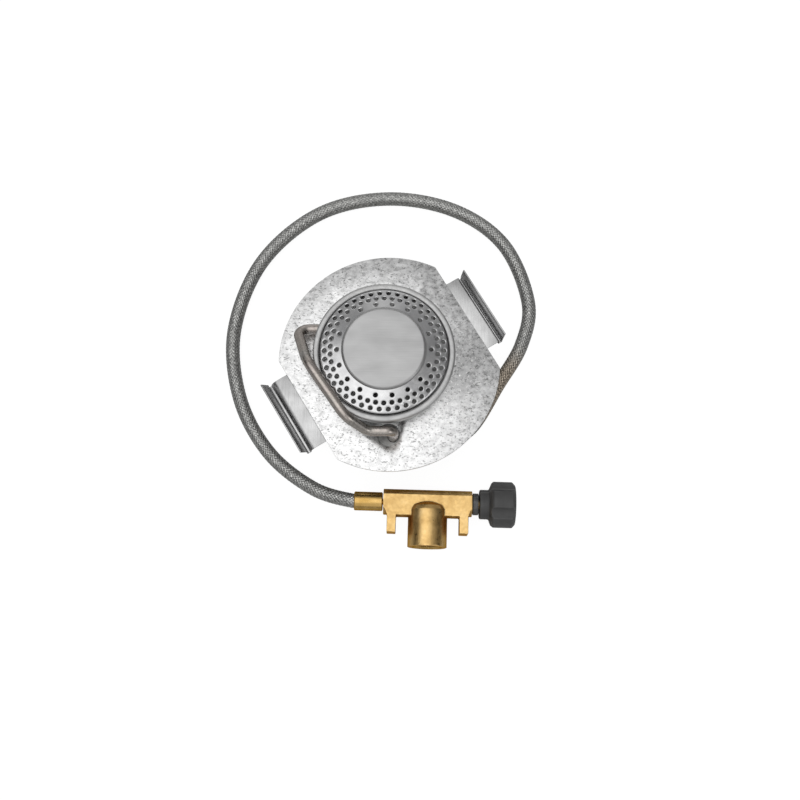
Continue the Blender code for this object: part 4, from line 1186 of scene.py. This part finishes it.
def gland_nut(material):
    face = BODY_END + GAP
    outer = [(2.3, GLAND_END), (GLAND_COLLAR, GLAND_END), (GLAND_COLLAR, face), (3.6, face)]
    outer += [(3.6, 30.3), (2.3, 30.3)]
    nut = turned("gland_collar", outer, 72, VALVE @ X_AXIS, 0.25)
    finish_piece(nut, "valve", material, "gland_nut")


def fluted_radius(angle, radius):
    """How far the knob reaches in a direction, with the flutes' round walls eased into its own radius."""
    period = math.tau / KNOB_LOBES
    off = (angle - math.radians(KNOB_FLUTE_ANGLE) + period / 2) % period - period / 2
    aside = KNOB_FLUTE_CENTRE * math.sin(off)
    if abs(aside) >= KNOB_FLUTE_RADIUS:
        return radius
    wall = KNOB_FLUTE_CENTRE * math.cos(off) - math.sqrt(KNOB_FLUTE_RADIUS**2 - aside**2)
    ease = 0.35
    gap = radius - wall
    return radius - 0.5 * (gap + math.sqrt(gap * gap + ease * ease) - ease)


def valve_knob(material):
    """The moulded knob: neck, flared shoulder and a grip with shallow flutes between its lobes."""
    outline = [(0.0, KNOB_END - 0.5), (5.2, KNOB_END - 0.5), (5.8, KNOB_END), (8.2, KNOB_END)]
    outline += [(KNOB_RADIUS, KNOB_END - 1.3), (KNOB_RADIUS, KNOB_SHOULDER_END + 0.8)]
    outline += [(KNOB_RADIUS - 0.7, KNOB_SHOULDER_END), (KNOB_NECK_RADIUS + 0.2, KNOB_NECK_END)]
    outline += [(KNOB_NECK_RADIUS, KNOB_NECK_END - 0.6), (KNOB_NECK_RADIUS, KNOB_START), (0.0, KNOB_START)]
    profile = []
    dense = rounded(outline, 0.7, 5, closed=False)
    for first, second in zip(dense, dense[1:]):
        cuts = max(1, round((Vector(second) - Vector(first)).length / 0.8))
        profile += [tuple(Vector(first).lerp(Vector(second), k / cuts)) for k in range(cuts)]
    profile.append(dense[-1])
    vertices, faces = lathe(profile, 48 * KNOB_LOBES)
    shaped = []
    for x, y, z in vertices:
        radius, angle = math.hypot(x, y), math.atan2(y, x)
        scale = min(1.0, fluted_radius(angle, radius) / max(radius, 1e-6))
        shaped.append((x * scale, y * scale, z))
    knob = piece("knob_grip", shaped, faces, VALVE @ X_AXIS, sharp=50)
    finish_piece(knob, "spindle", material, "valve_knob")


# ---------------------------------------------------------------- stage


def carried_over(looks):
    """Gives the CAD nodes that stay in view, or inside, their finished materials."""
    for node, material in looks.items():
        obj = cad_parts[node]
        obj.data.materials.clear()
        obj.data.materials.append(material)


def floor():
    """White paper to the camera; in reflections it is plain grey paper, dark wherever it is covered."""
    size = 2.0
    corners = [(-size, -size, 0), (size, -size, 0), (size, size, 0), (-size, size, 0)]
    mesh = bpy.data.meshes.new("floor")
    mesh.from_pydata(corners, [], [(0, 1, 2, 3)])
    plane = bpy.data.objects.new("floor", mesh)
    plane.location.z = -0.0004
    bpy.context.scene.collection.objects.link(plane)
    look = Look("floor_paper", (0.6, 0.6, 0.6), 0.0, 0.9)
    glow = look.node("ShaderNodeEmission")
    glow.inputs["Strength"].default_value = 1.25
    seen = look.node("ShaderNodeLightPath").outputs["Is Camera Ray"]
    blend = look.node("ShaderNodeMixShader")
    look.feed(look.math("MULTIPLY", seen, 0.75), blend.inputs[0])
    look.feed(look.shader.outputs[0], blend.inputs[1])
    look.feed(glow.outputs[0], blend.inputs[2])
    look.feed(blend.outputs[0], look.tree.nodes["Material Output"].inputs["Surface"])
    mesh.materials.append(look.material)


# Soft boxes and dark cards round the set: direction, half-width in degrees, brightness
CARDS = (
    ((-0.2, 0.0, 1.0), 42, 1.15),
    ((0.67, -0.44, 0.58), 20, 1.2),
    ((0.0, -0.8, 0.6), 26, 0.5),
    ((0.0, 1.0, 0.25), 30, 0.4),
    ((1.0, 0.25, 0.4), 32, -0.3),
    ((-1.0, 0.2, 0.35), 28, -0.3),
)
SKY_LEVEL = 0.36


def studio():
    """An even sky with soft boxes and dark cards, all as smooth patches of the world."""
    world = bpy.data.worlds.new("studio")
    world.use_nodes = True
    bpy.context.scene.world = world
    tree = world.node_tree
    ray = tree.nodes.new("ShaderNodeTexCoord").outputs["Generated"]
    level = SKY_LEVEL
    for direction, width, gain in CARDS:
        dot = tree.nodes.new("ShaderNodeVectorMath")
        dot.operation = "DOT_PRODUCT"
        tree.links.new(ray, dot.inputs[0])
        dot.inputs[1].default_value = Vector(direction).normalized()
        patch = tree.nodes.new("ShaderNodeMapRange")
        patch.interpolation_type = "SMOOTHSTEP"
        patch.inputs["From Min"].default_value = math.cos(math.radians(width))
        patch.inputs["From Max"].default_value = math.cos(math.radians(width * 0.45))
        patch.inputs["To Max"].default_value = gain
        tree.links.new(dot.outputs["Value"], patch.inputs["Value"])
        total = tree.nodes.new("ShaderNodeMath")
        total.operation = "ADD"
        tree.links.new(patch.outputs["Result"], total.inputs[0])
        if isinstance(level, float):
            total.inputs[1].default_value = level
        else:
            tree.links.new(level, total.inputs[1])
        level = total.outputs[0]
    tree.nodes["Background"].inputs["Color"].default_value = (1.0, 1.0, 1.0, 1.0)
    tree.links.new(level, tree.nodes["Background"].inputs["Strength"])


def camera():
    lens = bpy.data.cameras.new("camera")
    lens.lens = FOCAL_LENGTH
    lens.clip_start = 0.01
    lens.clip_end = 20.0
    obj = bpy.data.objects.new("camera", lens)
    bpy.context.scene.collection.objects.link(obj)
    tilt = math.radians(CAMERA_ELEVATION)
    back = Vector((0, -math.cos(tilt), math.sin(tilt)))
    obj.location = (Vector(TARGET) + back * CAMERA_DISTANCE) * MM
    obj.rotation_euler = (math.radians(90 - CAMERA_ELEVATION), 0, 0)
    bpy.context.scene.camera = obj
    bpy.context.scene.view_settings.view_transform = "Standard"


def build():
    zinc = spangled_zinc()
    polished = polished_steel()
    brass = machined_brass()
    spring = spring_steel()
    tint = heat_tinted_steel()
    rubber = black_rubber()
    bronze = sintered_bronze()
    core = dark_core()
    mounting_plate(zinc)
    for shape in CLIP_SHAPES:
        spring_clip(*shape, spring)
    burner_bowl(spun_steel())
    flame_ring(polished)
    burner_cap(satin_steel())
    mixing_tube(drawn_steel())
    lock_ring(brass)
    jet_holder(brass)
    jet_nozzle(brass)
    preheat_tube(tint)
    preheat_nuts(brass, hole_shade_steel())
    inlet_connector(brass)
    hose(braid_wire(), core)
    ferrules(brass)
    valve_body(forged_brass(), brass)
    socket_thread(brass)
    socket_fittings(rubber, bronze, brass)
    gland_nut(black_metal())
    valve_knob(moulded_plastic())
    carried_over(
        {
            "hose_nipple_burner": brass,
            "hose_nipple_valve": brass,
            "valve_spindle": brass,
            "spindle_o_ring": rubber,
        }
    )
    floor()
    studio()
    camera()


build()
